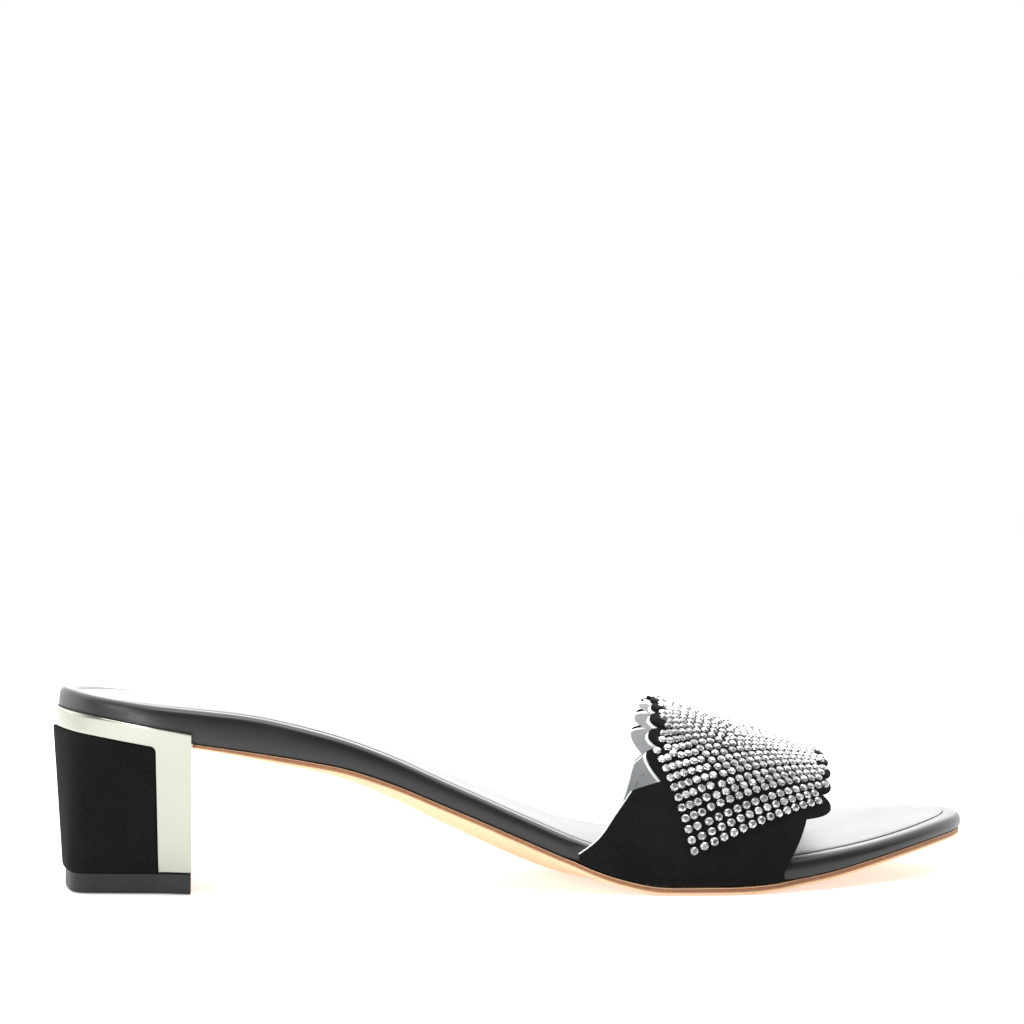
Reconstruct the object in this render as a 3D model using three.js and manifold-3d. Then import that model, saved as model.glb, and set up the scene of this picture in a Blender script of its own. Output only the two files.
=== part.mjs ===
// A heeled slide sandal: block heel, leather sole and one wide strap cut into fingers.
// Millimetres. X runs from the heel to the toe, Y to the inner side of the foot, Z up.
// One shoe of the pair, for the right foot. Everything stands at rest on the floor.
import * as THREE from "three";
import Module from "manifold-3d";

const wasm = await Module();
wasm.setup();

// Fits between neighbouring pieces
const GAP = 0.3;

// Plan outline of the footbed, measured from the back of the heel
const OUTLINE = [
  { x: 1.2, outer: 0, inner: 0 },
  { x: 3.9, outer: -8.8, inner: 8.8 },
  { x: 10.6, outer: -17.6, inner: 17.1 },
  { x: 22, outer: -23.8, inner: 22.8 },
  { x: 38, outer: -26.3, inner: 25.0 },
  { x: 60, outer: -26.0, inner: 23.8 },
  { x: 85, outer: -24.8, inner: 21.5 },
  { x: 105, outer: -26.4, inner: 21.8 },
  { x: 125, outer: -31.0, inner: 25.0 },
  { x: 142, outer: -37.0, inner: 30.8 },
  { x: 160, outer: -40.8, inner: 36.2 },
  { x: 176, outer: -41.2, inner: 38.5 },
  { x: 191, outer: -38.4, inner: 38.2 },
  { x: 206, outer: -33.0, inner: 35.2 },
  { x: 219, outer: -26.2, inner: 29.8 },
  { x: 230, outer: -18.2, inner: 22.9 },
  { x: 238, outer: -9.8, inner: 15.2 },
  { x: 241.7, outer: -3.2, inner: 9.0 },
  { x: 243, outer: 2.8, inner: 2.8 },
];

// Side profile: feather is the bottom edge of the footbed, top its upper edge,
// belly how far the underside of the sole bulges below its edges at the middle
const PROFILE = [
  { x: 0, feather: 43.6, top: 51.6, belly: 0 },
  { x: 12, feather: 41.9, top: 49.4, belly: 0 },
  { x: 25, feather: 39.7, top: 47.5, belly: 0 },
  { x: 36, feather: 37.8, top: 46.3, belly: 0 },
  { x: 50, feather: 35.6, top: 44.4, belly: 0.8 },
  { x: 62, feather: 33.5, top: 41.6, belly: 1.6 },
  { x: 74, feather: 30.9, top: 38.0, belly: 2.5 },
  { x: 86, feather: 26.8, top: 33.3, belly: 3.5 },
  { x: 97, feather: 22.1, top: 28.2, belly: 4.3 },
  { x: 109, feather: 17.0, top: 22.8, belly: 5.0 },
  { x: 120, feather: 12.2, top: 17.9, belly: 5.2 },
  { x: 130, feather: 7.9, top: 13.6, belly: 4.3 },
  { x: 137, feather: 5.1, top: 11.2, belly: 2.3 },
  { x: 144, feather: 3.1, top: 9.4, belly: 0.9 },
  { x: 151, feather: 1.9, top: 8.0, belly: 0.1 },
  { x: 162, feather: 1.85, top: 7.4, belly: 0 },
  { x: 173, feather: 1.9, top: 7.4, belly: 0.1 },
  { x: 184, feather: 2.7, top: 8.1, belly: 0.3 },
  { x: 196, feather: 4.2, top: 9.2, belly: 0.5 },
  { x: 208, feather: 6.3, top: 10.5, belly: 0.7 },
  { x: 219, feather: 8.2, top: 12.0, belly: 0.7 },
  { x: 231, feather: 9.8, top: 13.7, belly: 0.5 },
  { x: 243, feather: 10.6, top: 14.9, belly: 0.3 },
];

// Outsole: one piece of leather from the heel breast to the toe
const OUTSOLE_THICK = 1.6;
const OUTSOLE_BACK = 35.7;
const OUTSOLE_INSET = 0.5;
const OUTSOLE_ROUND = 0.4;
const OUTSOLE_STRAP_BUMP = 0.9;
const OUTSOLE_WIDENS = {
  outer: { start: 124, full: 134, leave: 180, end: 190 },
  inner: { start: 141, full: 151, leave: 198, end: 208 },
};
const SKIVE_SHARE = 0.4;
const SKIVE_LONG = 25;

// Footbed: leather wrapped board with a rounded rim, sunk in the middle for the sock
const RIM_WIDTH = 4.8;
const SOCK_THICK = 1.0;
const SOCK_SINK = 0.8;
const SOCK_ROUND = 0.5;
const HEEL_DISH = 0.9;
const DISH_END = 70;

// Section of the footbed's edge: distance in from the outline, share of the wall's height
const UNDER_ROUND = 1.3;
const EDGE_SECTION = [
  { from: 0.15, share: 0.13 },
  { from: 0, share: 0.45 },
  { from: 0.35, share: 0.77 },
  { from: 1.4, share: 0.95 },
];

// Heel block: breast plane, how far its rim laps the footbed, and its foot outline
const BREAST = 35.2;
const RIM_WALL = 0.9;
const RIM_LAP = 2.6;
const LIP_ROUND = 0.3;
const CUP_RUN_OUT = 1;
const HEEL_FOOT = [
  { x: 2.7, outer: 0, inner: 0 },
  { x: 3.6, outer: -8.5, inner: 8.3 },
  { x: 5.2, outer: -14.6, inner: 14.2 },
  { x: 7.6, outer: -16.9, inner: 16.5 },
  { x: 14.5, outer: -18.4, inner: 17.9 },
  { x: 26, outer: -20.4, inner: 19.9 },
  { x: 44, outer: -23.6, inner: 23.1 },
  { x: 52, outer: 0, inner: 0 },
];
const LIFT_HIGH = 5.0;
const LIFT_INSET = 0.25;
const BAND_HIGH = 5.0;
const LEG_WIDE = 9.2;
const COVER_THICK = 1.5;
const COVER_PROUD = 0.4;

// Strap: ridge line falling to the toe, side walls and leather thickness
const RIDGE = { x: 157, y: 6, z: 46.2 };
const RIDGE_FALL = THREE.MathUtils.degToRad(17.8);
const SECTION_POWER = 2.25;
const SIDE_TOP = 8;
const STRAP_PROUD = 1.0;
const STRAP_THICK = 1.8;
const MARGIN_THICK = 1.2;
const MARGIN_LONG = 8;
const MARGIN_LIFT = 0.36;
const CORNER_HIGH = 2.4;
const CORNER_ROUND = 0.45;
const INNER_ROUND = 0.1;
const LONGEST_SIDE = 74;
const NORMAL_REACH = 0.8;

// The strap pattern lies on the ridge surface with its middle line set over to the
// outer side and turned a little, so that the outer side reaches further back
const PATTERN_MIDDLE = -7;
const PATTERN_SKEW = 0.1;

// Edges of the pattern: side is the distance from its middle line, edge the place
// along the foot. Fingers have round tips and sharp notches between them
const BACK_FINGERS = [
  { notchSide: 4.6, notch: 2.8, tipSide: 0, tip: -0.3 },
  { notchSide: 12.6, notch: 2.7, tipSide: 8.2, tip: -0.6 },
  { notchSide: 20.8, notch: 3.0, tipSide: 16.2, tip: -0.9 },
  { notchSide: 28.8, notch: 3.8, tipSide: 23.9, tip: -0.7 },
  { notchSide: 39.4, notch: 5.4, tipSide: 31.2, tip: -0.2 },
];
const FRONT_FINGERS = [
  { notchSide: 9.6, notch: 45.9, tipSide: 4.6, tip: 48.9 },
  { notchSide: 17.5, notch: 45.9, tipSide: 13.5, tip: 48.9 },
  { notchSide: 25.2, notch: 45.9, tipSide: 21.4, tip: 48.9 },
  { notchSide: 32.6, notch: 45.6, tipSide: 29.1, tip: 48.8 },
  { notchSide: 42.2, notch: 43.6, tipSide: 36.2, tip: 49.2 },
];
const TIP_ROUND = 2.4;
const LOWEST_FINGER = 42.2;
const SIDE_EDGES = [
  { down: 0, outerBack: -0.8, outerFront: 43.6, innerBack: 3.4, innerFront: 43.6 },
  { down: 0.35, outerBack: -2.6, outerFront: 43.6, innerBack: 3.3, innerFront: 43.7 },
  { down: 0.7, outerBack: -4.2, outerFront: 43.2, innerBack: 2.7, innerFront: 43.9 },
  { down: 1, outerBack: -7.2, outerFront: 42.8, innerBack: 1.9, innerFront: 44.0 },
];

// Bands of stones: nested angles, each with its corner towards the sole.
// Their outer lines, from the finger at the throat to the corner and to the toe finger
const BAND_LINES = [
  { back: [1.4, 32.6], corner: [18.7, 57.4], front: [47.2, 39.2] },
  { back: [1.2, 24.6], corner: [20.0, 46.8], front: [47.0, 31.0] },
  { back: [1.0, 16.4], corner: [21.3, 36.3], front: [47.0, 23.2] },
  { back: [1.2, 8.4], corner: [22.6, 25.9], front: [47.0, 15.6] },
  { back: [3.0, 0.4], corner: [23.9, 15.5], front: [47.0, 7.6] },
  { back: [19.0, 0.3], corner: [25.2, 5.1], front: [47.0, 0.3] },
];
const BAND_THICK = 1.0;
const BAND_SPACE = 0.6;

// How finely the curved pieces are divided
const OUTLINE_STEPS = 38;
const SPAN_STEPS = 4;
const BELLY_STEPS = 6;
const STATION_EVEN = 0.35;
const HEEL_STEPS = 13;
const SECTION_STEPS = 40;
const STRAP_COLUMNS = 9;
const SIDE_ROWS = 4;
const ROW_SPACE = 1.6;

const MATERIALS = {
  outsole: { color: 0xc79a72, roughness: 0.62, metalness: 0 },
  footbed: { color: 0x17181b, roughness: 0.33, metalness: 0 },
  sock: { color: 0x202125, roughness: 0.36, metalness: 0 },
  suede: { color: 0x0d0d0f, roughness: 0.95, metalness: 0 },
  stones: { color: 0xc3c8cf, roughness: 0.16, metalness: 0.45 },
  plate: { color: 0xdcdccf, roughness: 0.2, metalness: 1 },
  rubber: { color: 0x1b1b1d, roughness: 0.7, metalness: 0 },
};

// Smooth value of one table column at x
function column(table, name, x, key = "x") {
  const last = table.length - 1;
  const at = Math.min(Math.max(x, table[0][key]), table[last][key]);
  let i = 0;
  while (i < last - 1 && table[i + 1][key] < at) i += 1;
  const slope = (k) => {
    const a = table[Math.max(k - 1, 0)];
    const b = table[Math.min(k + 1, last)];
    return (b[name] - a[name]) / (b[key] - a[key]);
  };
  const wide = table[i + 1][key] - table[i][key];
  const t = (at - table[i][key]) / wide;
  const h = t * t * (3 - 2 * t);
  const bend = (1 - t) * (1 - t) * t * slope(i) - t * t * (1 - t) * slope(i + 1);
  return table[i][name] * (1 - h) + table[i + 1][name] * h + bend * wide;
}
const feather = (x) => column(PROFILE, "feather", x);
const topEdge = (x) => column(PROFILE, "top", x);
const belly = (x) => column(PROFILE, "belly", x);

// Side of a plan outline at x, worked out from its closed curve
class Plan {
  constructor(table) {
    const outer = table.map((r) => new THREE.Vector3(r.x, r.outer, 0));
    const inner = table.slice(1, -1).map((r) => new THREE.Vector3(r.x, r.inner, 0));
    this.loop = new THREE.CatmullRomCurve3([...outer, ...inner.reverse()], true, "centripetal");
    this.points = this.loop.getPoints(720);
    this.tip = this.points.reduce((a, b) => (b.x > a.x ? b : a));
    this.heel = this.points.reduce((a, b) => (b.x < a.x ? b : a));
    const turn = this.points.indexOf(this.tip);
    this.outer = this.points.slice(0, turn);
    this.inner = this.points.slice(turn).reverse();
  }
  side(x, sign) {
    const at = Math.min(Math.max(x, this.heel.x), this.tip.x);
    const half = sign < 0 ? this.outer : this.inner;
    let i = 0;
    while (i < half.length - 2 && half[i + 1].x < at) i += 1;
    const t = (at - half[i].x) / Math.max(half[i + 1].x - half[i].x, 1e-6);
    return half[i].y + (half[i + 1].y - half[i].y) * Math.min(Math.max(t, 0), 1);
  }
}
const plan = new Plan(OUTLINE);
const sides = [];
for (let x = 0; x <= 243; x += 1) {
  sides.push({ x, outer: plan.side(x, -1), inner: plan.side(x, 1) });
}
const outlineSide = (x, sign) => column(sides, sign < 0 ? "outer" : "inner", x);

// Underside of the footbed: its edge less the belly, which fades towards both edges
function bottomAt(x, y) {
  const outer = outlineSide(x, -1);
  const inner = outlineSide(x, 1);
  const across = (2 * (y - outer)) / Math.max(inner - outer, 1) - 1;
  return feather(x) - belly(x) * Math.max(1 - across * across, 0);
}
function topAt(x, y) {
  const outer = outlineSide(x, -1);
  const inner = outlineSide(x, 1);
  const across = (2 * (y - outer)) / Math.max(inner - outer, 1) - 1;
  const dish = HEEL_DISH * Math.max(1 - x / DISH_END, 0);
  return topEdge(x) - dish * Math.max(1 - across * across, 0);
}

// Vertices and faces of one piece
class Shell {
  constructor() {
    this.points = [];
    this.faces = [];
  }
  point(x, y, z) {
    this.points.push(x, y, z);
    return this.points.length / 3 - 1;
  }
  quad(a, b, c, d) {
    if (a !== b && b !== c && a !== c) this.faces.push(a, b, c);
    if (a !== c && c !== d && a !== d) this.faces.push(a, c, d);
  }
  // Wall between two closed rings, the first below the second, both counter-clockwise
  wall(low, high) {
    low.forEach((a, i) => {
      const j = (i + 1) % low.length;
      this.quad(a, low[j], high[j], high[i]);
    });
  }
  // Cap over a ring, spanned from row to row between its two sides. A straight end
  // of the ring is one plain edge
  cap(ring, rows, height, steps, up) {
    let before = null;
    rows.forEach(([a, b], n) => {
      const line = [ring[a]];
      if (a !== b && n === 0) line.push(ring[b]);
      if (a !== b && n > 0) {
        const p = this.at(ring[a]);
        const q = this.at(ring[b]);
        for (let k = 1; k < steps; k += 1) {
          const t = k / steps;
          const x = p.x + (q.x - p.x) * t;
          const y = p.y + (q.y - p.y) * t;
          line.push(this.point(x, y, height(x, y)));
        }
        line.push(ring[b]);
      }
      if (before) this.strip(before, line, up);
      before = line;
    });
  }
  strip(one, two, up) {
    const most = Math.max(one.length, two.length) - 1;
    for (let k = 0; k < most; k += 1) {
      const a = one[Math.min(k, one.length - 1)];
      const b = one[Math.min(k + 1, one.length - 1)];
      const c = two[Math.min(k + 1, two.length - 1)];
      const d = two[Math.min(k, two.length - 1)];
      if (up) this.quad(a, d, c, b);
      else this.quad(a, b, c, d);
    }
  }
  at(i) {
    return new THREE.Vector3(...this.points.slice(3 * i, 3 * i + 3));
  }
  geometry() {
    const made = new THREE.BufferGeometry();
    made.setAttribute("position", new THREE.Float32BufferAttribute(this.points, 3));
    made.setIndex(this.faces);
    return made;
  }
  solid() {
    const mesh = new wasm.Mesh({
      numProp: 3,
      vertProperties: new Float32Array(this.points),
      triVerts: new Uint32Array(this.faces),
    });
    return new wasm.Manifold(mesh);
  }
}
function geometryOf(solid) {
  const mesh = solid.getMesh();
  const made = new THREE.BufferGeometry();
  made.setAttribute("position", new THREE.BufferAttribute(mesh.vertProperties.slice(), 3));
  made.setIndex(new THREE.BufferAttribute(mesh.triVerts.slice(), 1));
  return made;
}

// Plan stations from one end of the outline to the other, closer near the round ends
function stations(from, to, steps) {
  return Array.from({ length: steps + 1 }, (_, i) => {
    const even = i / steps;
    const round = (1 - Math.cos(Math.PI * even)) / 2;
    return from + (to - from) * (STATION_EVEN * even + (1 - STATION_EVEN) * round);
  });
}
// Pairs of loop points that face each other across the foot, from heel to toe
const spanRows = Array.from({ length: OUTLINE_STEPS + 1 }, (_, i) => {
  const round = 2 * OUTLINE_STEPS;
  return [i, (round - i) % round];
});

// Counter-clockwise plan loop: outer side from heel to toe, then the inner side back
function planLoop() {
  const xs = stations(plan.heel.x, plan.tip.x, OUTLINE_STEPS);
  const outer = xs.map((x) => new THREE.Vector2(x, plan.side(x, -1)));
  const inner = xs.slice(1, -1).map((x) => new THREE.Vector2(x, plan.side(x, 1)));
  outer[0].set(plan.heel.x, plan.heel.y);
  outer[OUTLINE_STEPS].set(plan.tip.x, plan.tip.y);
  return [...outer, ...inner.reverse()];
}
// The loop moved in by a distance that may change along it
function inset(loop, far) {
  const n = loop.length;
  return loop.map((p, i) => {
    const before = loop[(i + n - 1) % n];
    const after = loop[(i + 1) % n];
    const along = after.clone().sub(before).normalize();
    const by = typeof far === "function" ? far(p) : far;
    return new THREE.Vector2(p.x - along.y * by, p.y + along.x * by);
  });
}
function ring(shell, loop, height) {
  return loop.map((p) => shell.point(p.x, p.y, height(p.x, p.y)));
}

const footLoop = planLoop();

// Footbed: rounded lower edge, wall, rounded rim, then the sunk seat for the sock
function footbedShell() {
  const s = new Shell();
  const level = (by, height) => ring(s, inset(footLoop, by), height);
  const wallHigh = (x) => topEdge(x) - feather(x);
  const rings = [
    level(UNDER_ROUND, bottomAt),
    ...EDGE_SECTION.map((r) => level(r.from, (x) => feather(x) + r.share * wallHigh(x))),
    level(RIM_WIDTH - 0.2, topAt),
    level(RIM_WIDTH, (x, y) => topAt(x, y) - SOCK_SINK),
  ];
  rings.slice(1).forEach((high, i) => s.wall(rings[i], high));
  s.cap(rings[0], spanRows, bottomAt, BELLY_STEPS, false);
  s.cap(rings.at(-1), spanRows, (x, y) => topAt(x, y) - SOCK_SINK, SPAN_STEPS, true);
  return s;
}
function sockShell() {
  const s = new Shell();
  const base = GAP - SOCK_SINK;
  const level = (by, up) => ring(s, inset(footLoop, RIM_WIDTH + by), (x, y) => topAt(x, y) + up);
  const low = level(GAP, base);
  const edge = level(GAP, base + SOCK_THICK - SOCK_ROUND);
  const high = level(GAP + SOCK_ROUND, base + SOCK_THICK);
  s.wall(low, edge);
  s.wall(edge, high);
  s.cap(low, spanRows, (x, y) => topAt(x, y) + base, SPAN_STEPS, false);
  s.cap(high, spanRows, (x, y) => topAt(x, y) + base + SOCK_THICK, SPAN_STEPS, true);
  return s;
}

// Outsole: follows the footbed, a little wider where the strap comes down on it,
// flat on the floor under the ball and cut off straight at the heel breast
function outsoleShell() {
  const s = new Shell();
  const bump = (p) => {
    const reach = OUTSOLE_WIDENS[p.y < 0 ? "outer" : "inner"];
    const on = THREE.MathUtils.smoothstep(p.x, reach.start, reach.full);
    const off = THREE.MathUtils.smoothstep(p.x, reach.leave, reach.end);
    return OUTSOLE_INSET - (OUTSOLE_STRAP_BUMP + OUTSOLE_INSET) * (on - off);
  };
  const edge = inset(footLoop, bump);
  const whole = edge.map((p, i) => [p, i]).filter(([p]) => p.x > OUTSOLE_BACK + 2);
  const outer = whole.filter(([, i]) => i <= OUTLINE_STEPS).map(([p]) => p);
  const inner = whole.filter(([, i]) => i > OUTLINE_STEPS).map(([p]) => p);
  const back = (sign) => {
    const y = plan.side(OUTSOLE_BACK, sign) - sign * OUTSOLE_INSET;
    return new THREE.Vector2(OUTSOLE_BACK, y);
  };
  const loop = [back(-1), ...outer, ...inner, back(1)];
  const rows = outer.map((_, i) => [i, loop.length - 1 - i]);
  rows.push([outer.length, outer.length]);
  const upper = (x, y) => bottomAt(x, y) - GAP;
  const skive = (x) => {
    const full = THREE.MathUtils.smoothstep(x, OUTSOLE_BACK, OUTSOLE_BACK + SKIVE_LONG);
    return 1 - SKIVE_SHARE * (1 - full);
  };
  const lower = (x, y) => Math.max(upper(x, y) - OUTSOLE_THICK * skive(x), 0);
  const low = ring(s, squareEnd(inset(loop, OUTSOLE_ROUND)), lower);
  const mid = ring(s, loop, (x, y) => lower(x, y) + OUTSOLE_ROUND);
  const high = ring(s, loop, upper);
  s.wall(low, mid);
  s.wall(mid, high);
  s.cap(low, rows, lower, BELLY_STEPS, false);
  s.cap(high, rows, upper, BELLY_STEPS, true);
  return s;
}
// Keeps the two corners of a cut-off loop on the cut
function squareEnd(loop) {
  loop[0].x = OUTSOLE_BACK;
  loop.at(-1).x = OUTSOLE_BACK;
  return loop;
}

// Heel block outlines, from the outer breast corner round the back to the inner one
function heelLoop(shape, grow) {
  const points = shape.points;
  const n = points.length - 1;
  const grown = points.slice(0, n).map((p, i) => {
    const along = points[(i + 1) % n].clone().sub(points[(i + n - 1) % n]).normalize();
    return new THREE.Vector2(p.x + along.y * grow, p.y - along.x * grow);
  });
  const tip = grown.reduce((a, b) => (b.x > a.x ? b : a));
  const start = grown.indexOf(tip);
  const turned = [...grown.slice(start), ...grown.slice(0, start)];
  const inside = turned.filter((p) => p.x < BREAST).reverse();
  const before = turned.filter((p) => p.x >= BREAST);
  const cut = (a, b) => {
    const t = (BREAST - a.x) / (b.x - a.x);
    return new THREE.Vector2(BREAST, a.y + (b.y - a.y) * t);
  };
  const nearest = (p, sign) => {
    const same = before.filter((q) => Math.sign(q.y) === sign);
    return same.reduce((a, b) => (a.distanceTo(p) < b.distanceTo(p) ? a : b));
  };
  const first = inside[0];
  const last = inside.at(-1);
  const open = [cut(first, nearest(first, -1)), ...inside, cut(last, nearest(last, 1))];
  const lengths = [0];
  open.slice(1).forEach((p, i) => lengths.push(lengths[i] + p.distanceTo(open[i])));
  return { open, lengths, total: lengths.at(-1) };
}
function alongLoop(loop, part) {
  const want = loop.total * part;
  let i = 0;
  while (i < loop.lengths.length - 2 && loop.lengths[i + 1] < want) i += 1;
  const t = (want - loop.lengths[i]) / (loop.lengths[i + 1] - loop.lengths[i]);
  return loop.open[i].clone().lerp(loop.open[i + 1], t);
}
const heelTop = heelLoop(plan, GAP + RIM_WALL);
const heelFoot = heelLoop(new Plan(HEEL_FOOT), 0);
const heelBase = LIFT_HIGH + GAP;
const rimTop = (x) => feather(x) + RIM_LAP;

// A point on the heel's side at a part of the way round and a height, moved in by depth
function heelPoint(part, z, depth) {
  const high = alongLoop(heelTop, part);
  const low = alongLoop(heelFoot, part);
  const t = (z - heelBase) / (rimTop(high.x) - heelBase);
  const near = (d) => {
    const p = Math.min(Math.max(part + d, 0), 1);
    return alongLoop(heelFoot, p).lerp(alongLoop(heelTop, p), t);
  };
  const at = low.clone().lerp(high, t);
  const along = near(0.01).sub(near(-0.01)).normalize();
  return new THREE.Vector3(at.x + along.y * depth, at.y - along.x * depth, z);
}
function rimHeight(part) {
  return rimTop(alongLoop(heelTop, part).x);
}

const heelParts = Array.from({ length: 2 * HEEL_STEPS + 1 }, (_, i) => i / (2 * HEEL_STEPS));
const heelRows = Array.from({ length: HEEL_STEPS + 1 }, (_, i) => [i, 2 * HEEL_STEPS - i]);

// A ring round the heel block, and a solid made of such rings from the lowest up
function heelRing(s, depth, heightOf, front = BREAST) {
  return heelParts.map((part) => {
    const p = heelPoint(part, heightOf(part, depth), depth);
    const end = part === 0 || part === 1;
    return s.point(end ? front : Math.min(p.x, front), p.y, p.z);
  });
}
function heelStack(s, rings, low, high) {
  const turned = rings.map((r) => [...r].reverse());
  turned.slice(1).forEach((next, i) => s.wall(turned[i], next));
  s.cap(turned[0], heelRows, low, SPAN_STEPS, false);
  s.cap(turned.at(-1), heelRows, high, SPAN_STEPS, true);
  return s.solid();
}
// Heel frame: the plated block up to its rim, then the cup in it for the footbed, which
// runs out through the breast
function heelBlock() {
  const s = new Shell();
  const rings = [
    heelRing(s, 0, () => heelBase),
    heelRing(s, 0, (part) => (heelBase + rimHeight(part)) / 2),
    heelRing(s, 0, (part) => rimHeight(part) - LIP_ROUND),
    heelRing(s, LIP_ROUND, rimHeight),
  ];
  return heelStack(s, rings, () => heelBase, (x) => rimTop(x));
}
function heelCup() {
  const s = new Shell();
  const front = BREAST + CUP_RUN_OUT;
  const seat = (part, depth) => {
    const end = part === 0 || part === 1;
    return feather(end ? front : heelPoint(part, rimHeight(part), depth).x) - GAP;
  };
  const rings = [
    heelRing(s, RIM_WALL, seat, front),
    heelRing(s, RIM_WALL, (part) => rimHeight(part) + CUP_RUN_OUT, front),
  ];
  return heelStack(s, rings, (x) => feather(x) - GAP, (x) => rimTop(x) + CUP_RUN_OUT);
}
// A wrap on the block's side between two depths, from part to part and height to height
function heelWrap(from, to, low, high, outside, inside) {
  const s = new Shell();
  const steps = 22;
  const sections = Array.from({ length: steps + 1 }, (_, i) => {
    const part = from + ((to - from) * i) / steps;
    const corners = [
      [low(part), outside],
      [high(part), outside],
      [high(part), inside],
      [low(part), inside],
    ];
    return corners.map(([z, depth]) => {
      const p = heelPoint(part, z, depth);
      return s.point(p.x, p.y, p.z);
    });
  });
  sections.slice(1).forEach((next, i) => s.wall(sections[i], next));
  const [a, b, c, d] = sections[0];
  s.quad(d, c, b, a);
  s.quad(...sections.at(-1));
  return s;
}

// Strap surface: sections square to the ridge line, rounded over the foot and
// straight down the sides to the sole
function strapSection(along, sign) {
  const fall = new THREE.Vector3(-Math.sin(RIDGE_FALL), 0, -Math.cos(RIDGE_FALL));
  const ridge = new THREE.Vector3(RIDGE.x, RIDGE.y, RIDGE.z);
  ridge.x += Math.cos(RIDGE_FALL) * along;
  ridge.z -= Math.sin(RIDGE_FALL) * along;
  const deep = (ridge.z - SIDE_TOP) / Math.cos(RIDGE_FALL);
  const side = outlineSide(ridge.x + fall.x * deep, sign) + sign * STRAP_PROUD;
  const points = [];
  for (let i = 0; i <= SECTION_STEPS; i += 1) {
    const turn = (Math.PI / 2) * (i / SECTION_STEPS);
    const across = Math.sin(turn) ** (2 / SECTION_POWER);
    const down = deep * (1 - Math.cos(turn) ** (2 / SECTION_POWER));
    const y = ridge.y + (side - ridge.y) * across;
    points.push(new THREE.Vector3(ridge.x + fall.x * down, y, ridge.z + fall.z * down));
  }
  for (let z = SIDE_TOP - 2; z > -3; z -= 2) {
    const down = (ridge.z - z) / Math.cos(RIDGE_FALL);
    const x = ridge.x + fall.x * down;
    points.push(new THREE.Vector3(x, outlineSide(x, sign) + sign * STRAP_PROUD, z));
  }
  const lengths = [0];
  points.slice(1).forEach((p, i) => lengths.push(lengths[i] + p.distanceTo(points[i])));
  return { points, lengths };
}
const sectionStore = new Map();
function storedSection(along, sign) {
  const key = `${sign} ${along.toFixed(3)}`;
  if (!sectionStore.has(key)) sectionStore.set(key, strapSection(along, sign));
  return sectionStore.get(key);
}
function onSurface(along, across) {
  const { points, lengths } = storedSection(along, across < 0 ? -1 : 1);
  const want = Math.abs(across);
  let i = 0;
  while (i < points.length - 2 && lengths[i + 1] < want) i += 1;
  const t = (want - lengths[i]) / (lengths[i + 1] - lengths[i]);
  return points[i].clone().lerp(points[i + 1], t);
}
// Pattern place to the shoe, raised off the surface along its outward normal
function place(edge, side, raise) {
  const across = PATTERN_MIDDLE + side;
  const along = edge + PATTERN_SKEW * side;
  const p = onSurface(along, across);
  const reach = NORMAL_REACH;
  const ahead = onSurface(along + reach, across).sub(onSurface(along - reach, across));
  const inward = onSurface(along, across + reach).sub(onSurface(along, across - reach));
  const normal = ahead.cross(inward).normalize();
  return p.addScaledVector(normal, raise);
}

// Finger edge at a distance from the middle line
function fingerEdge(table, side) {
  const far = Math.abs(side);
  const i = table.findIndex((f) => far <= f.notchSide);
  const finger = table[i];
  const inside = i === 0 ? -table[0].notchSide : table[i - 1].notchSide;
  const insideNotch = i === 0 ? finger.notch : table[i - 1].notch;
  const outwards = far > finger.tipSide;
  const reach = outwards ? finger.notchSide - finger.tipSide : finger.tipSide - inside;
  const notch = outwards ? finger.notch : insideNotch;
  const t = Math.min(Math.abs(far - finger.tipSide) / Math.abs(reach), 1);
  return finger.tip + (notch - finger.tip) * t ** TIP_ROUND;
}
// Distances from the middle line where the strap mesh has a row
function fingerRows() {
  const marks = new Set([0]);
  [BACK_FINGERS, FRONT_FINGERS].forEach((table) =>
    table.forEach((f) => {
      marks.add(f.tipSide);
      marks.add(f.notchSide);
    }),
  );
  const sorted = [...marks].filter((m) => m <= LOWEST_FINGER).sort((a, b) => a - b);
  const rows = [];
  sorted.slice(1).forEach((m, i) => {
    const steps = Math.max(Math.round((m - sorted[i]) / ROW_SPACE), 1);
    for (let k = 0; k < steps; k += 1) rows.push(sorted[i] + ((m - sorted[i]) * k) / steps);
  });
  rows.push(LOWEST_FINGER);
  return rows;
}

// One row of the strap over the foot: outward points and the matching inward ones
function overRow(side, grow) {
  const backTable = Math.abs(side) <= BACK_FINGERS.at(-1).notchSide;
  const sign = side < 0 ? "outer" : "inner";
  const back = backTable ? fingerEdge(BACK_FINGERS, side) : backBelow(Math.abs(side), sign);
  const front = fingerEdge(FRONT_FINGERS, side);
  return columns(back - grow, front + grow).map((edge) => [
    place(edge, side, grow),
    place(edge, side, -STRAP_THICK - grow),
  ]);
}
// Between the lowest notch and the first side row the back edge runs out to the side
function backBelow(far, sign) {
  const from = BACK_FINGERS.at(-1);
  const t = (far - from.notchSide) / (LOWEST_FINGER - from.notchSide);
  return from.notch + (SIDE_EDGES[0][`${sign}Back`] - from.notch) * t;
}
function columns(back, front) {
  const steps = Array.from({ length: STRAP_COLUMNS + 1 }, (_, i) => i / STRAP_COLUMNS);
  return steps.map((t) => back + (front - back) * t);
}
// Where the side comes down to the feather edge, as a distance from the middle line
function sideLength(edge, sign) {
  const probe = (side) => place(edge, sign * side, 0);
  let low = LOWEST_FINGER;
  let high = LONGEST_SIDE;
  for (let i = 0; i < 18; i += 1) {
    const mid = (low + high) / 2;
    const p = probe(mid);
    if (p.z > feather(p.x) + CORNER_HIGH) low = mid;
    else high = mid;
  }
  return low;
}
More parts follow.
